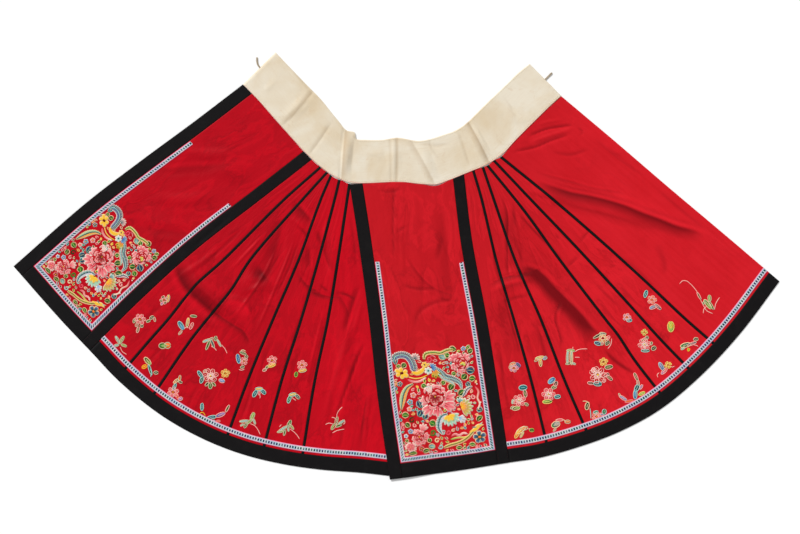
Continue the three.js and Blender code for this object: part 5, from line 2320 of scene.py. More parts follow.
# The drawing of the embroidered square: its sheet starts at the lower left corner
SQUARE_MOTIFS: tuple[Motif, ...] = (
    # Upper bird, its tail in the upper left corner and its wings trailing to the right
    Plume(((1.5, 96), (3, 101.5), (9, 103), (15, 101), (18.5, 96), (20, 90), (20.5, 85)), 3.4,
          (Silk.NAVY, Silk.TEAL), (Silk.NAVY, Silk.BLUE), Silk.WHITE, Silk.MIST, Form.CORD),
    Fan((22, 97), 60, 130, 6, (Silk.TEAL, Silk.SHELL, Silk.WHITE), 6),
    Leaf((2, 103.5), (3, 94), 1.3, SEA),
    Thread(((18, 85), (21.5, 82.5), (25.5, 83), (29.5, 86), (30.5, 90)), 2.6, Silk.GOLD, Silk.GOLD,
           Silk.CREAM, Form.LEAF),
    Blossom((31, 90), 6.5, (Silk.GOLD, Silk.GOLD, Silk.CREAM, Silk.NAVY), 6),
    Leaf((33, 88), (36.5, 90.5), 0.7, (Silk.ORANGE, Silk.GOLD, Silk.CREAM)),
    Blossom((34, 83.5), 8, (Silk.MIST, Silk.WHITE, Silk.WHITE, Silk.TEAL), 6, 20),
    Curl((36, 95), 3.4, Silk.ROSE, 200, 1.2, 0.7),
    Thread(((37, 97.5), (40, 98.5), (43, 96)), 0.6, Silk.MAGENTA, Silk.SHELL),
    Fan((37, 86), 20, 130, 6, (Silk.BLUE, Silk.SKY, Silk.WHITE), 6, Silk.NAVY),
    Plume(((41, 86.5), (46, 82), (50, 76), (57, 73), (62.5, 69), (64, 62)), 3.2,
          (Silk.TEAL, Silk.NAVY), (Silk.NAVY, Silk.TEAL), Silk.WHITE, Silk.MIST),
    Plume(((43, 80), (47, 75), (54, 70.5), (58, 66)), 1.8, (Silk.LILAC, Silk.MIST),
          (Silk.TEAL, Silk.SHELL), Silk.CREAM, Silk.MIST),
    Plume(((31, 95), (33, 100.5), (41, 101.5), (48, 100.5), (54, 102.5), (61, 103.5)), 1.7,
          (Silk.LIME, Silk.STRAW), (Silk.ORANGE, Silk.STRAW), Silk.CREAM, Silk.LEAF, Form.CORD),
    Leaf((57, 103.5), (64, 103), 1.7, GREEN),
    Fan((40, 84), -75, 70, 9, (Silk.ORANGE, Silk.LIME, Silk.GOLD), 4, Silk.FOREST),
    Thread(((13, 77.5), (18, 74.5), (24, 74), (31, 77)), 1.0, Silk.ROSE, Silk.SHELL, Silk.WHITE),
    Thread(((14, 80), (20, 77.5), (27, 77.5), (33, 79.5)), 0.6, Silk.STRAW, Silk.GOLD),
    # Yellow flower and leaves at the left edge
    Blossom((8, 84.5), 15, (Silk.GOLD, Silk.GOLD, Silk.CREAM, Silk.WINE), 6, -35, 0.72),
    Blossom((5, 74), 5.5, (Silk.NAVY, Silk.TEAL, Silk.WHITE, Silk.GOLD), 5),
    Leaf((9, 90), (13.5, 93), 1.6, GREEN),
    Leaf((7, 91), (4.5, 94), 1.2, FRESH),
    Plume(((18, 72.5), (12, 69.5), (8, 64), (5.5, 57), (3.2, 48)), 3.0,
          (Silk.GOLD, Silk.ORANGE), (Silk.LIME, Silk.MIST), Silk.CREAM, Silk.TEAL),
    # Large peony
    Leaf((20, 55), (22, 47), 1.9, SEA),
    Leaf((22, 45), (18.5, 39), 1.8, SEA),
    Leaf((26, 41), (23, 36), 1.8, SEA),
    Leaf((52, 62), (57, 68), 1.9, GREEN),
    Leaf((60, 56), (67, 60), 2.0, GREEN),
    Leaf((57, 53), (63, 49.5), 1.8, GREEN),
    Leaf((46, 68), (49, 72), 1.4, FRESH),
    Leaf((30, 68), (26, 71), 1.5, FRESH),
    Peony((38.5, 52.5), 35, (-2, 4), 7, 10),
    Fan((34, 60), 108, 46, 9, (Silk.SHELL, Silk.WHITE, Silk.MIST), 4, None, 1.3),
    Fan((37, 56.5), 250, 200, 6.5, (Silk.WINE, Silk.CRIMSON, Silk.SHELL), 6, None, 1.9),
    Knots(((44, 60), (46, 57), (46.5, 53.5), (30, 52), (31, 48.5), (36, 44), (40, 43)), 0.55,
          Silk.WHITE, 1.5),
    # Small cluster left of the peony
    Blossom((16.5, 61), 6, (Silk.MAGENTA, Silk.SHELL, Silk.WHITE, Silk.GOLD), 5),
    Blossom((12.5, 54.5), 6, (Silk.TEAL, Silk.SKY, Silk.WHITE, Silk.GOLD), 5, 30),
    Blossom((11, 47.5), 5, (Silk.ROSE, Silk.SHELL, Silk.WHITE, Silk.GOLD), 5, 10),
    # Upper right peony and the leaves below it
    Leaf((57, 97), (52, 99.5), 1.6, FRESH),
    Leaf((46, 98), (52, 94), 1.8, MISTY),
    Leaf((75, 97), (80, 99), 1.7, GREEN),
    Leaf((60, 80), (56, 78), 1.4, FRESH),
    Peony((65.5, 89.5), 22, (1.5, -1), 6, 25),
    Fan((68, 86.5), 60, 130, 3.4, (Silk.LIME, Silk.STRAW, Silk.GOLD), 4, None, 1.6),
    Blossom((71, 103), 5, (Silk.BLUE, Silk.SKY, Silk.WHITE, Silk.GOLD), 5, 18),
    Leaf((74, 101), (78, 104), 1.1, FRESH),
    Leaf((71, 80.5), (78, 77), 2.1, SEA),
    Leaf((70, 77), (65, 72.5), 2.0, GREEN),
    Leaf((72, 71), (78, 69.5), 1.7, FRESH),
    Leaf((69, 68), (71, 63.5), 1.3, SEA),
    Thread(((77, 62), (79.5, 56), (77.5, 50), (79, 44), (76, 38)), 0.9, Silk.ROSE, Silk.WHITE,
           Silk.CREAM),
    Curl((74, 52), 2.6, Silk.SHELL, 90, 1.2, 0.6),
    Knots(((79, 64), (80, 45), (66, 51), (70, 51)), 0.7, Silk.WHITE),
    # Lower bird
    Fan((61, 43), 10, 150, 11.5, (Silk.ORANGE, Silk.LIME, Silk.WHITE), 8),
    Fan((60.5, 44), 10, 130, 6.5, (Silk.GOLD, Silk.ORANGE, Silk.CREAM), 5, None, 0.9),
    Fan((60, 48), 80, 60, 6, (Silk.TEAL, Silk.MIST, Silk.WHITE), 3, None, 0.6),
    Fan((48, 36), -70, 150, 11, (Silk.LIME, Silk.MIST, Silk.WHITE), 8),
    Fan((47.5, 37), -75, 120, 7.5, (Silk.GOLD, Silk.GOLD, Silk.CREAM), 4, None, 0.9),
    Fan((57, 33), -20, 90, 6, (Silk.SKY, Silk.WHITE, Silk.WHITE), 5, None, 0.7),
    Plume(((47, 38.5), (41, 36.5), (37.5, 31), (36.5, 24), (39, 18)), 2.8, (Silk.SKY, Silk.WHITE),
          (Silk.TEAL, Silk.MIST), Silk.WHITE, Silk.TEAL),
    Blossom((60, 31), 8, (Silk.SKY, Silk.WHITE, Silk.WHITE, Silk.TEAL), 6),
    Plume(((63, 54), (66, 57), (68.5, 61), (74, 63)), 1.9, (Silk.MIST, Silk.WHITE),
          (Silk.LILAC, Silk.SHELL), Silk.WHITE, Silk.TEAL),
    Curl((40, 19.5), 2.6, Silk.MIST, 20, 1.2, 0.6),
    Curl((45, 19.5), 2.8, Silk.ROSE, 160, 1.2, 0.7),
    Thread(((47, 15), (51, 17), (55, 15), (59, 17), (63, 15.5)), 1.0, Silk.ROSE, Silk.SHELL,
           Silk.WHITE),
    Thread(((46, 39.5), (49, 41), (52, 38), (54.5, 38.5)), 0.7, Silk.LILAC, Silk.SHELL),
    Plume(((38, 4.5), (45, 6.5), (52, 7.6), (58, 9.4), (64, 13), (69, 17.5)), 1.5,
          (Silk.GOLD, Silk.STRAW), (Silk.PINK, Silk.GOLD), Silk.CREAM, Silk.LEAF, Form.CORD),
    Thread(((65, 17), (70, 18.5), (75, 22), (79.5, 22)), 2.4, Silk.GOLD, Silk.GOLD, Silk.CREAM,
           Form.LEAF),
    Thread(((46, 12), (53, 13), (60, 12.4), (67, 14)), 0.9, Silk.LIME, Silk.GOLD, Silk.CREAM),
    Thread(((68, 22), (73, 21), (79, 25)), 1.1, Silk.TEAL, Silk.MIST, Silk.CREAM, Form.LEAF),
    Leaf((74, 27), (79.5, 31), 1.6, GREEN),
    Leaf((75, 39), (80, 36), 1.5, SEA),
    Blossom((74, 10.5), 13, (Silk.FOREST, Silk.BLUE, Silk.CREAM, Silk.ORANGE), 5, 20),
    Leaf((63, 4.5), (69, 3), 1.2, FRESH),
    Leaf((56, 3), (50, 3.5), 1.2, GREEN),
    # Lower left peonies and what grows about them
    Peony((17, 18), 17, (-0.5, 0.5), 6, 0),
    Fan((20, 24), 62, 70, 8, (Silk.ROSE, Silk.SHELL, Silk.WHITE), 4, None, 0.6),
    Peony((7, 9.5), 11, (0, 0), 5, 30, Silk.ROSE, Silk.WHITE),
    Blossom((17, 6.5), 5.6, (Silk.WINE, Silk.CRIMSON, Silk.SHELL, Silk.GOLD), 5),
    Blossom((9, 25), 5.4, (Silk.BLUE, Silk.SKY, Silk.WHITE, Silk.STRAW), 5, 12),
    Blossom((4, 21), 4.4, (Silk.SKY, Silk.WHITE, Silk.WHITE, Silk.BLUE), 5),
    Leaf((3, 42), (9.5, 41), 1.7, FRESH),
    Leaf((5, 34), (8, 29), 1.5, GREEN),
    Curl((12, 36), 3.0, Silk.FOREST, 40, 1.1, 0.7),
    Leaf((28, 31.5), (33.5, 28), 2.0, FRESH),
    Curl((30, 21), 3.2, Silk.LEAF, 200, 1.2, 0.8),
    Leaf((2.5, 17), (5, 14.5), 1.0, GREEN),
    Leaf((4, 2.8), (12, 2.6), 1.3, GREEN),
    Leaf((18, 2.6), (24.5, 4), 1.3, GREEN),
    Leaf((24, 7.5), (30, 6), 1.5, MISTY),
    Leaf((27, 12), (25.5, 16), 1.3, GREEN),
    Curl((33, 12.5), 2.8, Silk.CREAM, 0, 1.2, 0.6),
    Curl((35.5, 6), 2.6, Silk.MIST, 180, 1.2, 0.6),
    Curl((14, 30.5), 2.2, Silk.SHELL, 90, 1.1, 0.5),
    Filling(),
)


@dataclass(frozen=True)
class Bud(Motif):
    """A small oval of silk inside a thin line, with a gap between where the satin shows.

    Attributes:
        x: place of its middle.
        y: place of its middle.
        long: its length.
        wide: its width.
        turn: degrees from the x axis to its length.
        root: colour of the oval at one end.
        line: colour of the line.
        tip: colour of the oval at the other end, the same if left out.
    """

    x: float
    y: float
    long: float
    wide: float
    turn: float
    root: Silk
    line: Silk = Silk.ECRU
    tip: Silk | None = None

    def sew(self, work: Needlework) -> None:
        """Adds the line, an ellipse, and the oval along its length.

        Args:
            work: the piece of embroidery that takes the strokes.
        """
        long, wide = self.long / 2 - FINE_THREAD, self.wide / 2 - FINE_THREAD
        turned = turning(self.turn)
        angle = np.linspace(0, 2 * math.pi, 15)
        ring = np.column_stack([long * np.cos(angle), wide * np.sin(angle)])
        middle = np.array([self.x, self.y])
        work.strokes((ring @ turned + middle)[None], FINE_THREAD, Form.CORD, self.line, self.line,
                     None, 0.9, 0.3)
        reach = max(0.5, long - FINE_THREAD)
        inner = np.column_stack([np.linspace(-reach, reach, 7), np.zeros(7)])
        work.strokes((inner @ turned + middle)[None], max(0.8, wide - 1.4 * FINE_THREAD), Form.DROP,
                     self.root, self.tip or self.root, None, 0.6, 0.1)
        if wide > 3 * FINE_THREAD:
            vein = 0.6 * inner + np.array([0, 0.1 * wide]) * np.array([[1], [-1]] * 3 + [[1]])
            work.strokes((vein @ turned + middle)[None], 0.7 * FINE_THREAD, Form.CORD, self.line,
                         self.line, None, 0.5, 0.7)


@dataclass(frozen=True)
class Bloom(Motif):
    """A small flower of outlined petals round a knot, with a ring of short crescents in it.

    Attributes:
        x: place of its middle.
        y: place of its middle.
        across: its width.
        root: colour of the petals.
        line: colour of their lines.
        count: petals.
        turn: degrees.
        eye: colour of the knot.
    """

    x: float
    y: float
    across: float
    root: Silk
    line: Silk = Silk.SHELL
    count: int = 5
    turn: float = 0.0
    eye: Silk = Silk.GOLD

    def sew(self, work: Needlework) -> None:
        """Adds a bud for each petal, the crescents and the knot.

        Args:
            work: the piece of embroidery that takes the strokes.
        """
        radius = self.across / 2
        step = 360 / self.count
        for number in range(self.count):
            angle = self.turn + step * number
            away = radius * (0.64 + 0.05 * math.cos(2.4 * number))
            Bud(self.x + away * math.cos(math.radians(angle)),
                self.y + away * math.sin(math.radians(angle)),
                0.74 * radius, 1.34 * radius * math.sin(math.pi / self.count), angle + 12,
                self.root, self.line).sew(work)
        inner = max(3, self.count - 2)
        angles = np.radians(self.turn + 20) + 2 * math.pi / inner * np.arange(inner)
        share = np.linspace(-1, 1, 6)[None, :]
        spread = angles[:, None] + 0.7 * math.pi / inner * share
        out = radius * (0.26 + 0.08 * (1 - share ** 2))
        arcs = out[..., None] * heading(spread)
        work.strokes(arcs + np.array([self.x, self.y]), 0.8 * FINE_THREAD, Form.CORD, self.line,
                     self.line, None, 0.8, 0.6)
        work.dots([(self.x, self.y)], 0.10 * radius, self.eye, 0.8)


@dataclass(frozen=True)
class Feeler(Motif):
    """A thin bent line of silk, such as a feeler, a leg or a stem."""

    way: tuple[Point, ...]
    silk: Silk = Silk.SHELL

    def sew(self, work: Needlework) -> None:
        """Adds the line."""
        work.line(self.way, FINE_THREAD, Form.CORD, self.silk, self.silk, None, 0.8, 0.3)


# The figures on the gores and inner panels in millimetres on the plan, one after another from the left
LEFT_FIGURES: tuple[Motif, ...] = (
    # Small flower near the left border
    Bloom(-667, -97, 26, Silk.LEAF, Silk.SHELL, 4, 20), Bud(-655, -93, 24, 11, 80, Silk.GOLD),
    Bud(-673, -108, 12, 9, 60, Silk.LILAC, Silk.SHELL),
    # Peony with two buds to its right
    Bloom(-736, -153, 34, Silk.ROSE, Silk.SHELL, 6), Bud(-752, -157, 16, 10, 70, Silk.LEAF),
    Bud(-742, -183, 20, 10, 75, Silk.LEAF, Silk.SHELL), Bud(-745, -169, 14, 10, 60, Silk.ROSE),
    Bud(-731, -172, 12, 11, 0, Silk.FOREST), Bud(-712, -158, 15, 9, 20, Silk.LEAF),
    Bud(-702, -148, 16, 11, 30, Silk.FOREST), Bud(-694, -153, 16, 8, 105, Silk.ROSE),
    # Pale moth at the left hem
    Bud(-800, -212, 28, 10, 120, Silk.MIST), Bud(-788, -212, 28, 10, 60, Silk.LIME),
    Bud(-804, -228, 20, 9, 20, Silk.MIST), Bud(-782, -228, 20, 9, -20, Silk.LIME),
    Feeler(((-793, -232), (-786, -246), (-774, -254))),
    # Butterfly in the second gore
    Bud(-618, -171, 30, 15, -58, Silk.TEAL, Silk.MIST, Silk.SKY),
    Bud(-620, -191, 18, 8, 50, Silk.PINK),
    Bud(-599, -162, 30, 10, 80, Silk.LEAF, Silk.CREAM, Silk.GOLD),
    Bud(-588, -172, 24, 10, 65, Silk.CRIMSON, Silk.SHELL), Bud(-582, -144, 22, 9, -5, Silk.LEAF),
    Feeler(((-610, -180), (-603, -176), (-596, -178))),
    # Capsule
    Bud(-671, -229, 24, 19, 0, Silk.LEAF), Bud(-657, -228, 21, 20, 0, Silk.ORANGE),
    Bud(-666, -229, 18, 8, 0, Silk.TEAL, Silk.LIME),
    # Butterfly at the foot of the second gore
    Bud(-714, -273, 30, 15, -50, Silk.FOREST, Silk.CREAM, Silk.LIME),
    Bud(-723, -289, 18, 12, 25, Silk.ORANGE, Silk.GOLD),
    Bud(-707, -298, 34, 9, -72, Silk.TEAL, Silk.MIST, Silk.LEAF),
    Bud(-690, -306, 15, 12, 0, Silk.FOREST),
    Feeler(((-706, -296), (-702, -308), (-706, -318)), Silk.MIST),
    # Pale moth in the third gore
    Bud(-541, -227, 32, 9, 68, Silk.LEAF), Bud(-545, -214, 26, 9, 22, Silk.MIST),
    Bud(-528, -222, 30, 9, 112, Silk.TEAL), Bud(-519, -208, 16, 11, 80, Silk.LEAF),
    Bud(-509, -221, 26, 8, 118, Silk.MIST), Bud(-533, -210, 20, 8, 30, Silk.ROSE),
    Feeler(((-532, -230), (-522, -236), (-516, -243))),
    Feeler(((-502, -226), (-492, -238), (-486, -251))),
    # Bird and flower beside the third piping
    Bud(-454, -266, 30, 13, 100, Silk.BLUE, Silk.MIST), Bud(-440, -250, 22, 10, -22, Silk.LEAF),
    Bud(-431, -261, 14, 11, 70, Silk.FOREST), Bloom(-438, -273, 24, Silk.ROSE, Silk.SHELL, 4, 40),
    Bud(-442, -290, 14, 10, 20, Silk.FOREST), Feeler(((-452, -297), (-444, -299), (-436, -296))),
    Feeler(((-447, -243), (-440, -241), (-432, -245)), Silk.CREAM),
    # Large peony spray
    Bloom(-534, -315, 46, Silk.CRIMSON, Silk.SHELL, 7, 10),
    Bloom(-533, -316, 24, Silk.ROSE, Silk.WHITE, 5),
    Bud(-563, -311, 26, 12, -55, Silk.TEAL, Silk.MIST),
    Bud(-559, -327, 22, 12, 75, Silk.FOREST, Silk.MIST),
    Bloom(-491, -308, 27, Silk.ORANGE, Silk.STRAW, 5, 15),
    Bud(-501, -329, 20, 14, -20, Silk.SKY, Silk.SHELL), Bud(-534, -343, 22, 14, 85, Silk.LEAF),
    Bud(-544, -339, 16, 9, 50, Silk.FOREST), Bud(-524, -339, 16, 9, 130, Silk.LEAF),
    Bud(-549, -301, 14, 9, 30, Silk.PINK),
    # Spray above the hem
    Bud(-622, -322, 20, 9, 78, Silk.ORANGE),
    Bud(-632, -330, 22, 10, 38, Silk.ORANGE, Silk.CREAM, Silk.LEAF),
    Bud(-620, -333, 14, 9, -20, Silk.FOREST), Bud(-637, -346, 22, 10, 62, Silk.TEAL, Silk.MIST),
    Bloom(-641, -362, 34, Silk.ROSE, Silk.SHELL, 6, 15),
    Bud(-630, -372, 22, 11, 110, Silk.ORANGE, Silk.PINK),
    Bud(-620, -381, 16, 12, 20, Silk.LILAC, Silk.SHELL),
    # Long wing at the hem
    Bud(-558, -404, 24, 11, 88, Silk.TEAL, Silk.MIST),
    Feeler(((-566, -424), (-556, -420), (-548, -430)), Silk.GOLD),
    Bud(-530, -434, 30, 12, 10, Silk.NAVY, Silk.MIST, Silk.TEAL),
    Bud(-505, -427, 32, 14, 22, Silk.BLUE, Silk.SHELL, Silk.LILAC),
    Bud(-485, -409, 26, 9, 62, Silk.LEAF, Silk.SHELL),
    Bud(-528, -446, 20, 9, 5, Silk.MAGENTA, Silk.MIST),
    Bud(-511, -445, 14, 8, 0, Silk.ORANGE, Silk.PINK),
    # Flower and fruit in the fourth gore
    Bloom(-357, -271, 30, Silk.ROSE, Silk.SHELL, 5, 30),
    Bud(-358, -285, 26, 12, 18, Silk.GOLD, Silk.STRAW), Bud(-371, -290, 16, 9, 45, Silk.LEAF),
    Bud(-378, -298, 15, 10, 30, Silk.LEAF, Silk.SHELL),
    # Arched shell
    Bud(-406, -366, 24, 13, 62, Silk.TEAL, Silk.MIST),
    Bud(-394, -353, 24, 12, 0, Silk.GOLD, Silk.MIST),
    Bud(-382, -361, 20, 13, -48, Silk.TEAL, Silk.MIST),
    Bud(-394, -364, 14, 8, 90, Silk.ROSE, Silk.SHELL),
    Feeler(((-393, -368), (-391, -374), (-392, -380))),
    # Pale moth above the hem, fourth gore
    Bud(-413, -431, 26, 13, 68, Silk.LIME), Bud(-437, -445, 30, 9, 5, Silk.MIST),
    Bud(-432, -456, 22, 10, 62, Silk.LEAF), Bud(-443, -456, 14, 7, 30, Silk.MIST),
    Bud(-421, -446, 26, 9, 40, Silk.LIME), Bud(-408, -446, 20, 8, 110, Silk.MIST),
    Feeler(((-420, -452), (-407, -458), (-398, -469), (-391, -484))),
    # Flower and fruit in the fifth gore
    Bloom(-271, -284, 30, Silk.ROSE, Silk.SHELL, 5, 10), Bud(-269, -300, 26, 12, 12, Silk.GOLD),
    Bud(-288, -311, 17, 11, 80, Silk.FOREST, Silk.LIME),
    # Arched shell
    Bud(-308, -383, 24, 12, 72, Silk.LEAF, Silk.MIST),
    Bud(-298, -369, 24, 12, 12, Silk.GOLD, Silk.MIST), Bud(-284, -375, 19, 12, -45, Silk.TEAL),
    Feeler(((-300, -377), (-294, -382), (-288, -386))),
    # Moth above the hem, fifth gore
    Bud(-308, -454, 28, 12, 66, Silk.LEAF), Bud(-326, -467, 32, 9, 32, Silk.MIST),
    Bud(-333, -475, 22, 8, 10, Silk.LIME), Bud(-321, -478, 20, 8, 75, Silk.LEAF),
    Bud(-311, -466, 20, 8, 100, Silk.MIST), Bud(-301, -461, 22, 8, 128, Silk.LIME),
    Feeler(((-336, -462), (-330, -455))),
    Feeler(((-306, -467), (-292, -478), (-284, -487), (-278, -497))),
    # Cricket on the inner panel
    Feeler(((-172, -438), (-170, -424), (-164, -413), (-155, -404))),
    Bud(-172, -444, 26, 10, 78, Silk.LEAF), Bud(-180, -460, 26, 12, 55, Silk.LIME),
    Bud(-158, -448, 24, 9, 32, Silk.MIST), Bud(-166, -458, 22, 9, 20, Silk.LEAF),
    Feeler(((-204, -455), (-194, -451), (-182, -453))),
    Feeler(((-184, -479), (-170, -472), (-149, -468))),
    Feeler(((-186, -434), (-178, -436), (-172, -442))),
    Feeler(((-150, -440), (-148, -449), (-153, -455))),
)

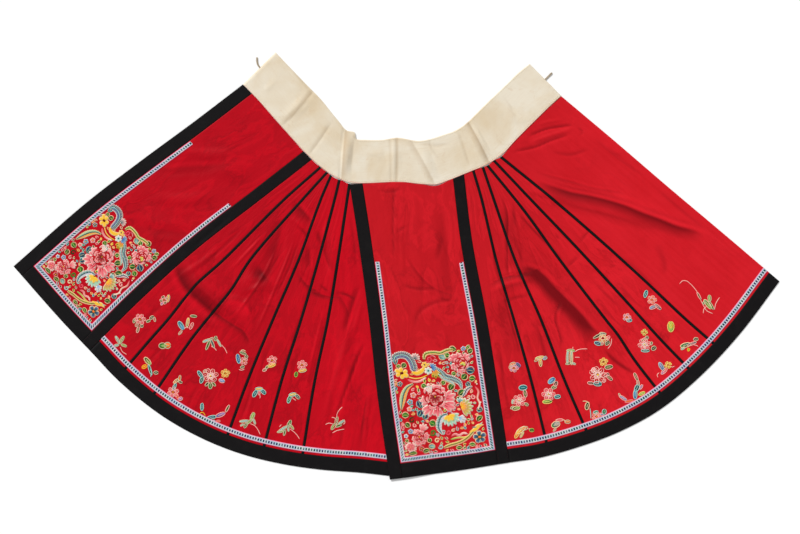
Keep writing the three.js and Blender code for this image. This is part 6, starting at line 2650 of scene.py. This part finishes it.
RIGHT_FIGURES: tuple[Motif, ...] = (
    # Round flower in the first gore
    Bloom(337, -293, 27, Silk.LILAC, Silk.SHELL, 5), Bud(334, -281, 20, 11, 15, Silk.ORANGE),
    Bud(349, -284, 18, 12, -40, Silk.TEAL, Silk.LILAC), Bud(326, -290, 12, 8, 70, Silk.ROSE),
    # Spray with a teal bud
    Bud(363, -349, 26, 17, 5, Silk.TEAL, Silk.MIST),
    Bud(369, -366, 24, 13, 100, Silk.LEAF, Silk.SHELL),
    Bloom(352, -386, 38, Silk.ROSE, Silk.SHELL, 6, 20),
    Bloom(352, -386, 19, Silk.CRIMSON, Silk.WHITE, 4), Bud(334, -389, 16, 10, 75, Silk.MIST),
    Bud(343, -408, 26, 14, 8, Silk.FOREST, Silk.CREAM, Silk.LIME),
    Bud(373, -397, 15, 10, -30, Silk.LEAF), Bud(332, -406, 14, 8, 40, Silk.LEAF),
    # Golden bird
    Bud(357, -471, 36, 15, 36, Silk.GOLD, Silk.CREAM, Silk.ORANGE),
    Bud(367, -466, 24, 12, 15, Silk.ORANGE), Bud(347, -482, 30, 12, 60, Silk.ORANGE, Silk.STRAW),
    Bud(360, -484, 22, 8, 60, Silk.STRAW), Bud(388, -471, 15, 12, 0, Silk.FOREST, Silk.LIME),
    Feeler(((374, -464), (380, -468), (384, -466))),
    # Small fan in the second gore
    Bud(411, -263, 28, 10, 12, Silk.LIME, Silk.CREAM, Silk.GOLD),
    Bud(426, -264, 15, 11, 30, Silk.LILAC, Silk.MIST),
    Bud(413, -277, 26, 11, 94, Silk.LEAF, Silk.CREAM, Silk.GOLD),
    Bud(402, -270, 16, 8, 30, Silk.ORANGE),
    # Spray with a blue bud
    Bud(445, -329, 26, 16, 40, Silk.SKY, Silk.MIST, Silk.BLUE),
    Bud(457, -338, 18, 13, 70, Silk.FOREST, Silk.SHELL), Bud(452, -348, 18, 12, 20, Silk.LEAF),
    Bloom(436, -368, 40, Silk.ROSE, Silk.SHELL, 6),
    Bloom(436, -368, 20, Silk.CRIMSON, Silk.WHITE, 4, 20),
    Bud(462, -375, 20, 13, 10, Silk.TEAL, Silk.MIST),
    Bud(433, -389, 30, 14, 5, Silk.LIME, Silk.STRAW, Silk.LEAF),
    # Cicada
    Bud(457, -455, 28, 20, 25, Silk.LEAF, Silk.CREAM, Silk.LILAC),
    Bud(461, -452, 18, 10, 40, Silk.LIME), Bud(468, -442, 24, 9, 5, Silk.ROSE, Silk.SHELL),
    Bud(491, -447, 19, 12, 0, Silk.ORANGE), Bud(454, -470, 14, 7, 50, Silk.PINK),
    Feeler(((476, -440), (482, -443), (486, -448)), Silk.CREAM),
    # Dragonfly
    Bud(491, -262, 42, 10, 88, Silk.MIST),
    Bud(502, -263, 44, 10, 90, Silk.LEAF, Silk.CREAM, Silk.MIST),
    Bud(500, -243, 26, 11, 0, Silk.LIME), Bud(494, -279, 20, 9, 15, Silk.LEAF),
    Bud(508, -280, 16, 8, -20, Silk.MIST), Feeler(((506, -238), (506, -232))),
    Feeler(((512, -246), (522, -240), (534, -238), (548, -238))),
    Feeler(((512, -262), (526, -262))),
    # Wreath
    Bud(578, -200, 34, 9, 28, Silk.FOREST),
    Bloom(592, -207, 28, Silk.ORANGE, Silk.CREAM, 5, 0, Silk.WINE),
    Bud(577, -222, 22, 13, -18, Silk.NAVY, Silk.MIST), Bud(605, -221, 18, 13, 40, Silk.FOREST),
    Bud(607, -206, 16, 10, 60, Silk.ROSE, Silk.SHELL), Bud(592, -194, 22, 9, -10, Silk.TEAL),
    Feeler(((617, -208), (615, -224), (606, -238))), Bud(590, -222, 14, 9, 60, Silk.PINK),
    # Great peony spray
    Bloom(594, -275, 26, Silk.ORANGE, Silk.STRAW, 5, 20, Silk.LEAF),
    Bud(609, -290, 26, 15, 10, Silk.LEAF, Silk.SHELL),
    Bloom(578, -313, 52, Silk.CRIMSON, Silk.SHELL, 7),
    Bloom(577, -311, 28, Silk.ROSE, Silk.WHITE, 5, 20),
    Bud(577, -338, 26, 15, -5, Silk.TEAL, Silk.MIST),
    Bud(557, -336, 20, 11, -8, Silk.FOREST, Silk.SHELL),
    Bud(611, -321, 24, 12, -40, Silk.LEAF, Silk.SHELL),
    Bud(603, -312, 18, 12, 20, Silk.FOREST, Silk.SHELL),
    Bud(565, -298, 16, 12, 60, Silk.PINK, Silk.WHITE),
    Bud(596, -329, 14, 10, 60, Silk.PINK, Silk.SHELL),
    # Ring and peony at the hem
    Bud(547, -402, 24, 14, 80, Silk.FOREST, Silk.CREAM),
    Feeler(((534, -388), (544, -388), (554, -393)), Silk.CREAM),
    Feeler(((555, -408), (557, -422), (558, -438)), Silk.MIST),
    Bud(572, -420, 17, 11, 10, Silk.LEAF, Silk.MIST),
    Bloom(574, -432, 28, Silk.ORANGE, Silk.SHELL, 5),
    Bud(596, -418, 17, 14, 80, Silk.LEAF, Silk.MIST),
    Bud(589, -426, 14, 8, -30, Silk.SKY, Silk.SHELL),
    # Bird with an upright tail
    Bud(687, -318, 28, 11, 115, Silk.LEAF, Silk.SHELL), Bud(693, -335, 18, 10, 100, Silk.PINK),
    Bud(690, -350, 26, 15, 65, Silk.FOREST, Silk.MIST, Silk.TEAL),
    Bud(702, -347, 18, 9, 60, Silk.LILAC, Silk.SHELL),
    Bud(685, -368, 30, 13, 88, Silk.BLUE, Silk.MIST, Silk.SKY),
    Bud(704, -366, 22, 11, 25, Silk.LIME, Silk.STRAW),
    Bud(650, -379, 28, 11, -32, Silk.SKY, Silk.SHELL),
    Bud(668, -388, 28, 9, 12, Silk.ORANGE, Silk.PINK), Bud(640, -370, 12, 7, -60, Silk.PINK),
    # Small round flower in the fourth gore
    Bloom(661, -147, 25, Silk.LILAC, Silk.SHELL, 5),
    Bud(668, -156, 18, 11, 5, Silk.NAVY, Silk.MIST),
    # Spray with a ring
    Bloom(711, -190, 20, Silk.LEAF, Silk.STRAW, 4), Bud(718, -206, 14, 11, 30, Silk.FOREST),
    Bloom(711, -225, 38, Silk.ROSE, Silk.SHELL, 6, 10),
    Bud(714, -243, 26, 10, 0, Silk.FOREST, Silk.MIST),
    Bud(710, -212, 18, 12, 30, Silk.LEAF, Silk.SHELL), Bud(731, -222, 12, 9, 70, Silk.LEAF),
    Bud(738, -236, 17, 14, 30, Silk.FOREST), Bloom(712, -226, 18, Silk.CRIMSON, Silk.WHITE, 4),
    # Butterfly at the hem, fourth gore
    Bud(760, -288, 28, 13, -60, Silk.LILAC, Silk.MIST, Silk.BLUE),
    Bloom(779, -284, 22, Silk.GOLD, Silk.STRAW, 4, 30),
    Bud(768, -302, 26, 12, 45, Silk.LILAC, Silk.SHELL, Silk.ORANGE),
    Feeler(((754, -306), (748, -312), (750, -320))),
    Feeler(((786, -288), (792, -290), (798, -287))),
    # Butterfly in the fifth gore
    Bud(715, -80, 24, 12, 74, Silk.TEAL, Silk.MIST),
    Bloom(733, -97, 28, Silk.ORANGE, Silk.SHELL, 5),
    Bud(736, -118, 24, 13, 20, Silk.SKY, Silk.SHELL, Silk.TEAL),
    Bud(750, -117, 26, 11, -40, Silk.TEAL, Silk.SHELL),
    # Upright capsule
    Bud(787, -174, 33, 21, 90, Silk.LIME, Silk.STRAW),
    Bud(787, -170, 18, 11, 90, Silk.LEAF, Silk.GOLD),
    # Small bird at the hem
    Bud(859, -210, 16, 12, 10, Silk.FOREST),
    Bud(830, -227, 34, 15, 14, Silk.LEAF, Silk.CREAM, Silk.TEAL),
    Bud(848, -223, 30, 10, 22, Silk.TEAL, Silk.SHELL), Bud(822, -236, 16, 9, 30, Silk.MIST),
    Bud(838, -240, 11, 9, 80, Silk.LIME, Silk.GOLD),
    Feeler(((852, -226), (860, -228), (866, -231))),
    # Cricket on the inner panel
    Feeler(((812, -52), (820, -43), (832, -43), (846, -54), (858, -68), (866, -80))),
    Bud(868, -86, 26, 8, -62, Silk.LEAF, Silk.SHELL),
    Feeler(((872, -96), (879, -110), (890, -128), (908, -137))),
    Bud(893, -110, 36, 14, -52, Silk.LEAF, Silk.CREAM, Silk.LIME),
    Bud(898, -93, 22, 12, 92, Silk.LIME), Bud(903, -113, 30, 9, -60, Silk.LEAF),
    Bud(883, -105, 14, 9, 40, Silk.LEAF), Feeler(((912, -126), (917, -106), (927, -90))),
    Feeler(((889, -116), (882, -124), (880, -136))),
)


@dataclass(frozen=True)
class Embroidery:
    """The silk on both halves: a square on each face panel and figures on the gores."""

    def build(self, finishes: Finishes) -> int:
        """Sews the squares and the scattered figures.

        Args:
            finishes: the materials.

        Returns:
            How many pieces were made.
        """
        for half, drawn, overlaps in ((LEFT_HALF, LEFT_FIGURES, False),
                                      (RIGHT_HALF, RIGHT_FIGURES, True)):
            square = Needlework(Lay(CREASES, overlaps))
            square.spot = SquareSpot(half.field(), SQUARE_HEIGHTS[half.name])
            for motif in SQUARE_MOTIFS:
                motif.sew(square)
            square.finish(f"{half.name}_embroidered_square", finishes.floss)
            figures = Needlework(Lay(CREASES))
            for motif in drawn:
                motif.sew(figures)
            figures.finish(f"{half.name}_embroidered_figures", finishes.floss)
        return 4


@dataclass(frozen=True)
class Stitching:
    """Running stitches along the waistband and the black borders.

    Attributes:
        pitch: millimetres between the starts of two stitches.
        inset: distance of a row from the edge of its border.
        band_insets: distances of the rows from the sewn and the free edge of the waistband.
        span: shares of a row's line between which it is sewn.
    """

    pitch: float = 6.0
    inset: float = 3.0
    band_insets: tuple[float, float] = (5.0, 4.5)
    span: tuple[float, float] = (0.004, 0.996)

    def build(self, finishes: Finishes) -> int:
        """Sews the rows.

        Args:
            finishes: the materials.

        Returns:
            How many pieces were made.
        """
        share = np.linspace(*self.span, 500)
        band = Needlework(Lay(BAND_CREASES), COTTON)
        for line, aside in ((WAIST.sewn, self.band_insets[0]), (WAIST.free, -self.band_insets[1])):
            band.stitch_row(line.at(share, aside), self.pitch, Silk.STRAW)
        band.line([tuple(point) for point in WAIST.sewn.at(np.linspace(0.003, 0.997, 26), 1.2)],
                  0.6, Form.CORD, Silk.SHELL, Silk.SHELL, crown=0.5)
        band.finish("waistband_stitches", finishes.floss)
        for half, overlaps in ((LEFT_HALF, False), (RIGHT_HALF, True)):
            hem = half.hem_line()
            work = Needlework(Lay(CREASES, overlaps), BINDING)
            for seam, aside in ((0, self.inset), (0, BORDER_OUTER - self.inset),
                                (1, self.inset - BORDER_INNER), (1, -self.inset)):
                side = SideLine(hem, half.seams[seam], aside)
                work.stitch_row(side.at(share), self.pitch, Silk.WINE, 0.25)
            work.finish(f"{half.name}_border_stitches", finishes.floss)
        return 3


@dataclass(frozen=True)
class ButtonLoop:
    """A loop of twisted cord at an end of the waistband.

    Attributes:
        name: left or right.
        start: end of the waistband that it is measured from.
        end: the other end of that edge.
        share: where it is sewn on, between the two.
        lean: how far its tip leans along the edge.
        length: how far it reaches out.
        thickness: thickness of the cord.
        spread: half the distance between its two strands.
        sides: corners of the cord's section.
        places: sections along the cord.
        fit: how much of its solid's thickness the cord fills.
    """

    name: str
    start: Point
    end: Point
    share: float
    lean: float
    length: float = 27.0
    thickness: float = 2.2
    spread: float = 1.3
    sides: int = 10
    places: int = 60
    fit: float = 0.98

    def build(self, finishes: Finishes) -> int:
        """Makes the cord: a circle carried along the loop's line, closed at both ends.

        Args:
            finishes: the materials.

        Returns:
            How many pieces were made.
        """
        a, b = np.asarray(self.start, float), np.asarray(self.end, float)
        along = (b - a) / np.linalg.norm(b - a)
        outward = np.array([along[1], -along[0]])
        root = blend(a, b, self.share) + SEAM_GAP * outward
        bend = self.length - self.spread
        drawn = np.array([(-self.spread, 0), (-self.spread, bend / 2), (-self.spread, bend),
                          (0, self.length), (self.spread, bend), (self.spread, bend / 2),
                          (self.spread, 0)])
        aside = drawn[:, 0] + self.lean * (drawn[:, 1] / self.length) ** 2
        path = root + aside[:, None] * along + drawn[:, 1:] * outward
        smooth = SmoothLine([tuple(point) for point in path])
        places = self.places
        way = smooth.at(np.linspace(0, 1, places))
        slope = np.gradient(way, axis=0)
        slope /= np.linalg.norm(slope, axis=1)[:, None]
        left = np.column_stack([-slope[:, 1], slope[:, 0]])
        turn = np.arange(self.sides) * 2 * math.pi / self.sides
        radius = self.thickness / 2 * self.fit
        flat = way[:, None] + left[:, None] * (radius * np.cos(turn))[None, :, None]
        high = np.broadcast_to(self.thickness / 2 + radius * np.sin(turn), (places, self.sides))
        corners = np.concatenate([flat, high[..., None]], axis=-1).reshape(-1, 3)
        ids = np.arange(places * self.sides).reshape(places, self.sides)
        turned = np.roll(ids, -1, axis=1)
        quads = np.stack([ids[:-1], ids[1:], turned[1:], turned[:-1]], axis=-1).reshape(-1, 4)
        fan = np.arange(1, self.sides - 1)
        caps = np.vstack([
            np.column_stack([np.full_like(fan, ids[0, 0]), ids[0, fan], ids[0, fan + 1]]),
            np.column_stack([np.full_like(fan, ids[-1, 0]), ids[-1, fan + 1], ids[-1, fan]]),
        ])
        run = np.linspace(0, smooth.length * MM, places)
        uv = np.stack(np.broadcast_arrays(
            turn[None, :] * radius * MM, run[:, None]), axis=-1).reshape(-1, 2)
        node = f"button_loop_{self.name}"
        piece = MeshData(corners, quads, caps, uv).write(f"{node}_cord", finishes.cord)
        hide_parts(node)
        return 1


BUTTON_LOOPS = (
    ButtonLoop("left", FREE_EDGE[0], SEWN_EDGE[0], 0.48, -15),
    ButtonLoop("right", SEWN_EDGE[-1], FREE_EDGE[-1], 0.51, 0),
)


# The floor in metres: half its width, and its level, just below the skirt; and its two greys
FLOOR_HALF = 40.0
FLOOR_LEVEL = -0.0006
FLOOR_GREYS = ((0.90, 0.90, 0.90, 1), (0.93, 0.93, 0.93, 1))

# The camera: its lens and sensor in millimetres, its place and how far it sees in metres
LENS = 85
SENSOR_WIDTH = 36
CAMERA_PLACE = (0.0100, -0.0029, 5.421)
CAMERA_SIGHT = 120

# White light from all round
AIR_COLOUR = (1.0, 1.0, 1.0, 1.0)
AIR_STRENGTH = 0.46


@dataclass(frozen=True)
class Lamp:
    """A lamp so far away that its light falls parallel.

    Attributes:
        name: its name.
        strength: watts on a square metre.
        width: degrees that it is across, which softens its shadows.
        tilt: degrees about x.
        turn: degrees about z.
    """

    name: str
    strength: float
    width: float
    tilt: float
    turn: float

    def hang(self) -> None:
        """Makes the lamp and adds it to the scene."""
        data = bpy.data.lights.new(self.name, "SUN")
        data.energy = self.strength
        data.angle = math.radians(self.width)
        lamp = bpy.data.objects.new(self.name, data)
        lamp.rotation_euler = (math.radians(self.tilt), 0, math.radians(self.turn))
        bpy.context.scene.collection.objects.link(lamp)


LAMPS = (Lamp("key", 3.4, 12, -56, 38), Lamp("fill", 0.30, 40, 50, 38))


def make_stage() -> None:
    """Lays the plain pale floor under the skirt."""
    graph = NodeGraph("pale floor")
    speckle = graph.noise(graph.object_place(), 40, 3)
    graph.dress(Base_Color=graph.mix(speckle, *FLOOR_GREYS), Roughness=0.95,
                Specular_IOR_Level=0.0)
    floor = bpy.data.meshes.new("floor")
    corners = [(x * FLOOR_HALF, y * FLOOR_HALF, FLOOR_LEVEL)
               for x, y in ((-1, -1), (1, -1), (1, 1), (-1, 1))]
    floor.from_pydata(corners, [], [(0, 1, 2, 3)])
    floor.materials.append(graph.material)
    made = bpy.data.objects.new("floor", floor)
    bpy.context.scene.collection.objects.link(made)


def make_camera() -> None:
    """Hangs the camera straight above the skirt, framed as the photograph is."""
    data = bpy.data.cameras.new("camera")
    data.lens = LENS
    data.sensor_width = SENSOR_WIDTH
    data.clip_end = CAMERA_SIGHT
    camera = bpy.data.objects.new("camera", data)
    camera.location = CAMERA_PLACE
    bpy.context.scene.collection.objects.link(camera)
    bpy.context.scene.camera = camera


def make_lights() -> None:
    """Lights the skirt softly: a broad lamp from the upper left, a weak one opposite, white air."""
    scene = bpy.context.scene
    scene.view_settings.view_transform = "Standard"
    world = bpy.data.worlds.new("studio")
    world.use_nodes = True
    background = world.node_tree.nodes["Background"]
    background.inputs["Color"].default_value = AIR_COLOUR
    background.inputs["Strength"].default_value = AIR_STRENGTH
    scene.world = world
    for lamp in LAMPS:
        lamp.hang()


def main() -> None:
    """Builds the scene: camera, lights, floor, then each sub-assembly of the skirt."""
    logging.basicConfig(level=logging.INFO, format="%(name)s: %(message)s")
    make_camera()
    make_lights()
    make_stage()
    finishes = Finishes(
        # The left half's satin is painted darker, as shade, with its painted shade deepening further to
        # the left
        red_left=RedSatin("red satin left", face=(0.76, 0.01, 0.095), shade=(0.70, 0.0, 0.08),
                          deep=(0.32, 0.0, 0.03), deeper=(-0.14, -0.34)).build(),
        red_right=RedSatin("red satin right").build(),
        red_plain=RedSatin("red satin plain", crumple=0.3).build(),
        black=BlackSatin().build(),
        ribbon=WovenRibbon().build(),
        cotton=Cotton().build(),
        cord=TwistedCord().build(),
        floss=SilkFloss().build(),
    )
    flat = Lay(CREASES)
    parts = [
        Waistband(Lay(BAND_CREASES)),
        FacePanel(LEFT_HALF, flat),
        PleatedPanels(LEFT_HALF, flat),
        FacePanel(RIGHT_HALF, Lay(CREASES, overlaps=True)),
        PleatedPanels(RIGHT_HALF, flat),
        *BUTTON_LOOPS,
        Embroidery(),
        Stitching(),
    ]
    for part in parts:
        count = part.build(finishes)
        log.info("%s: %d pieces", type(part).__name__, count)


if __name__ == "__main__":
    main()
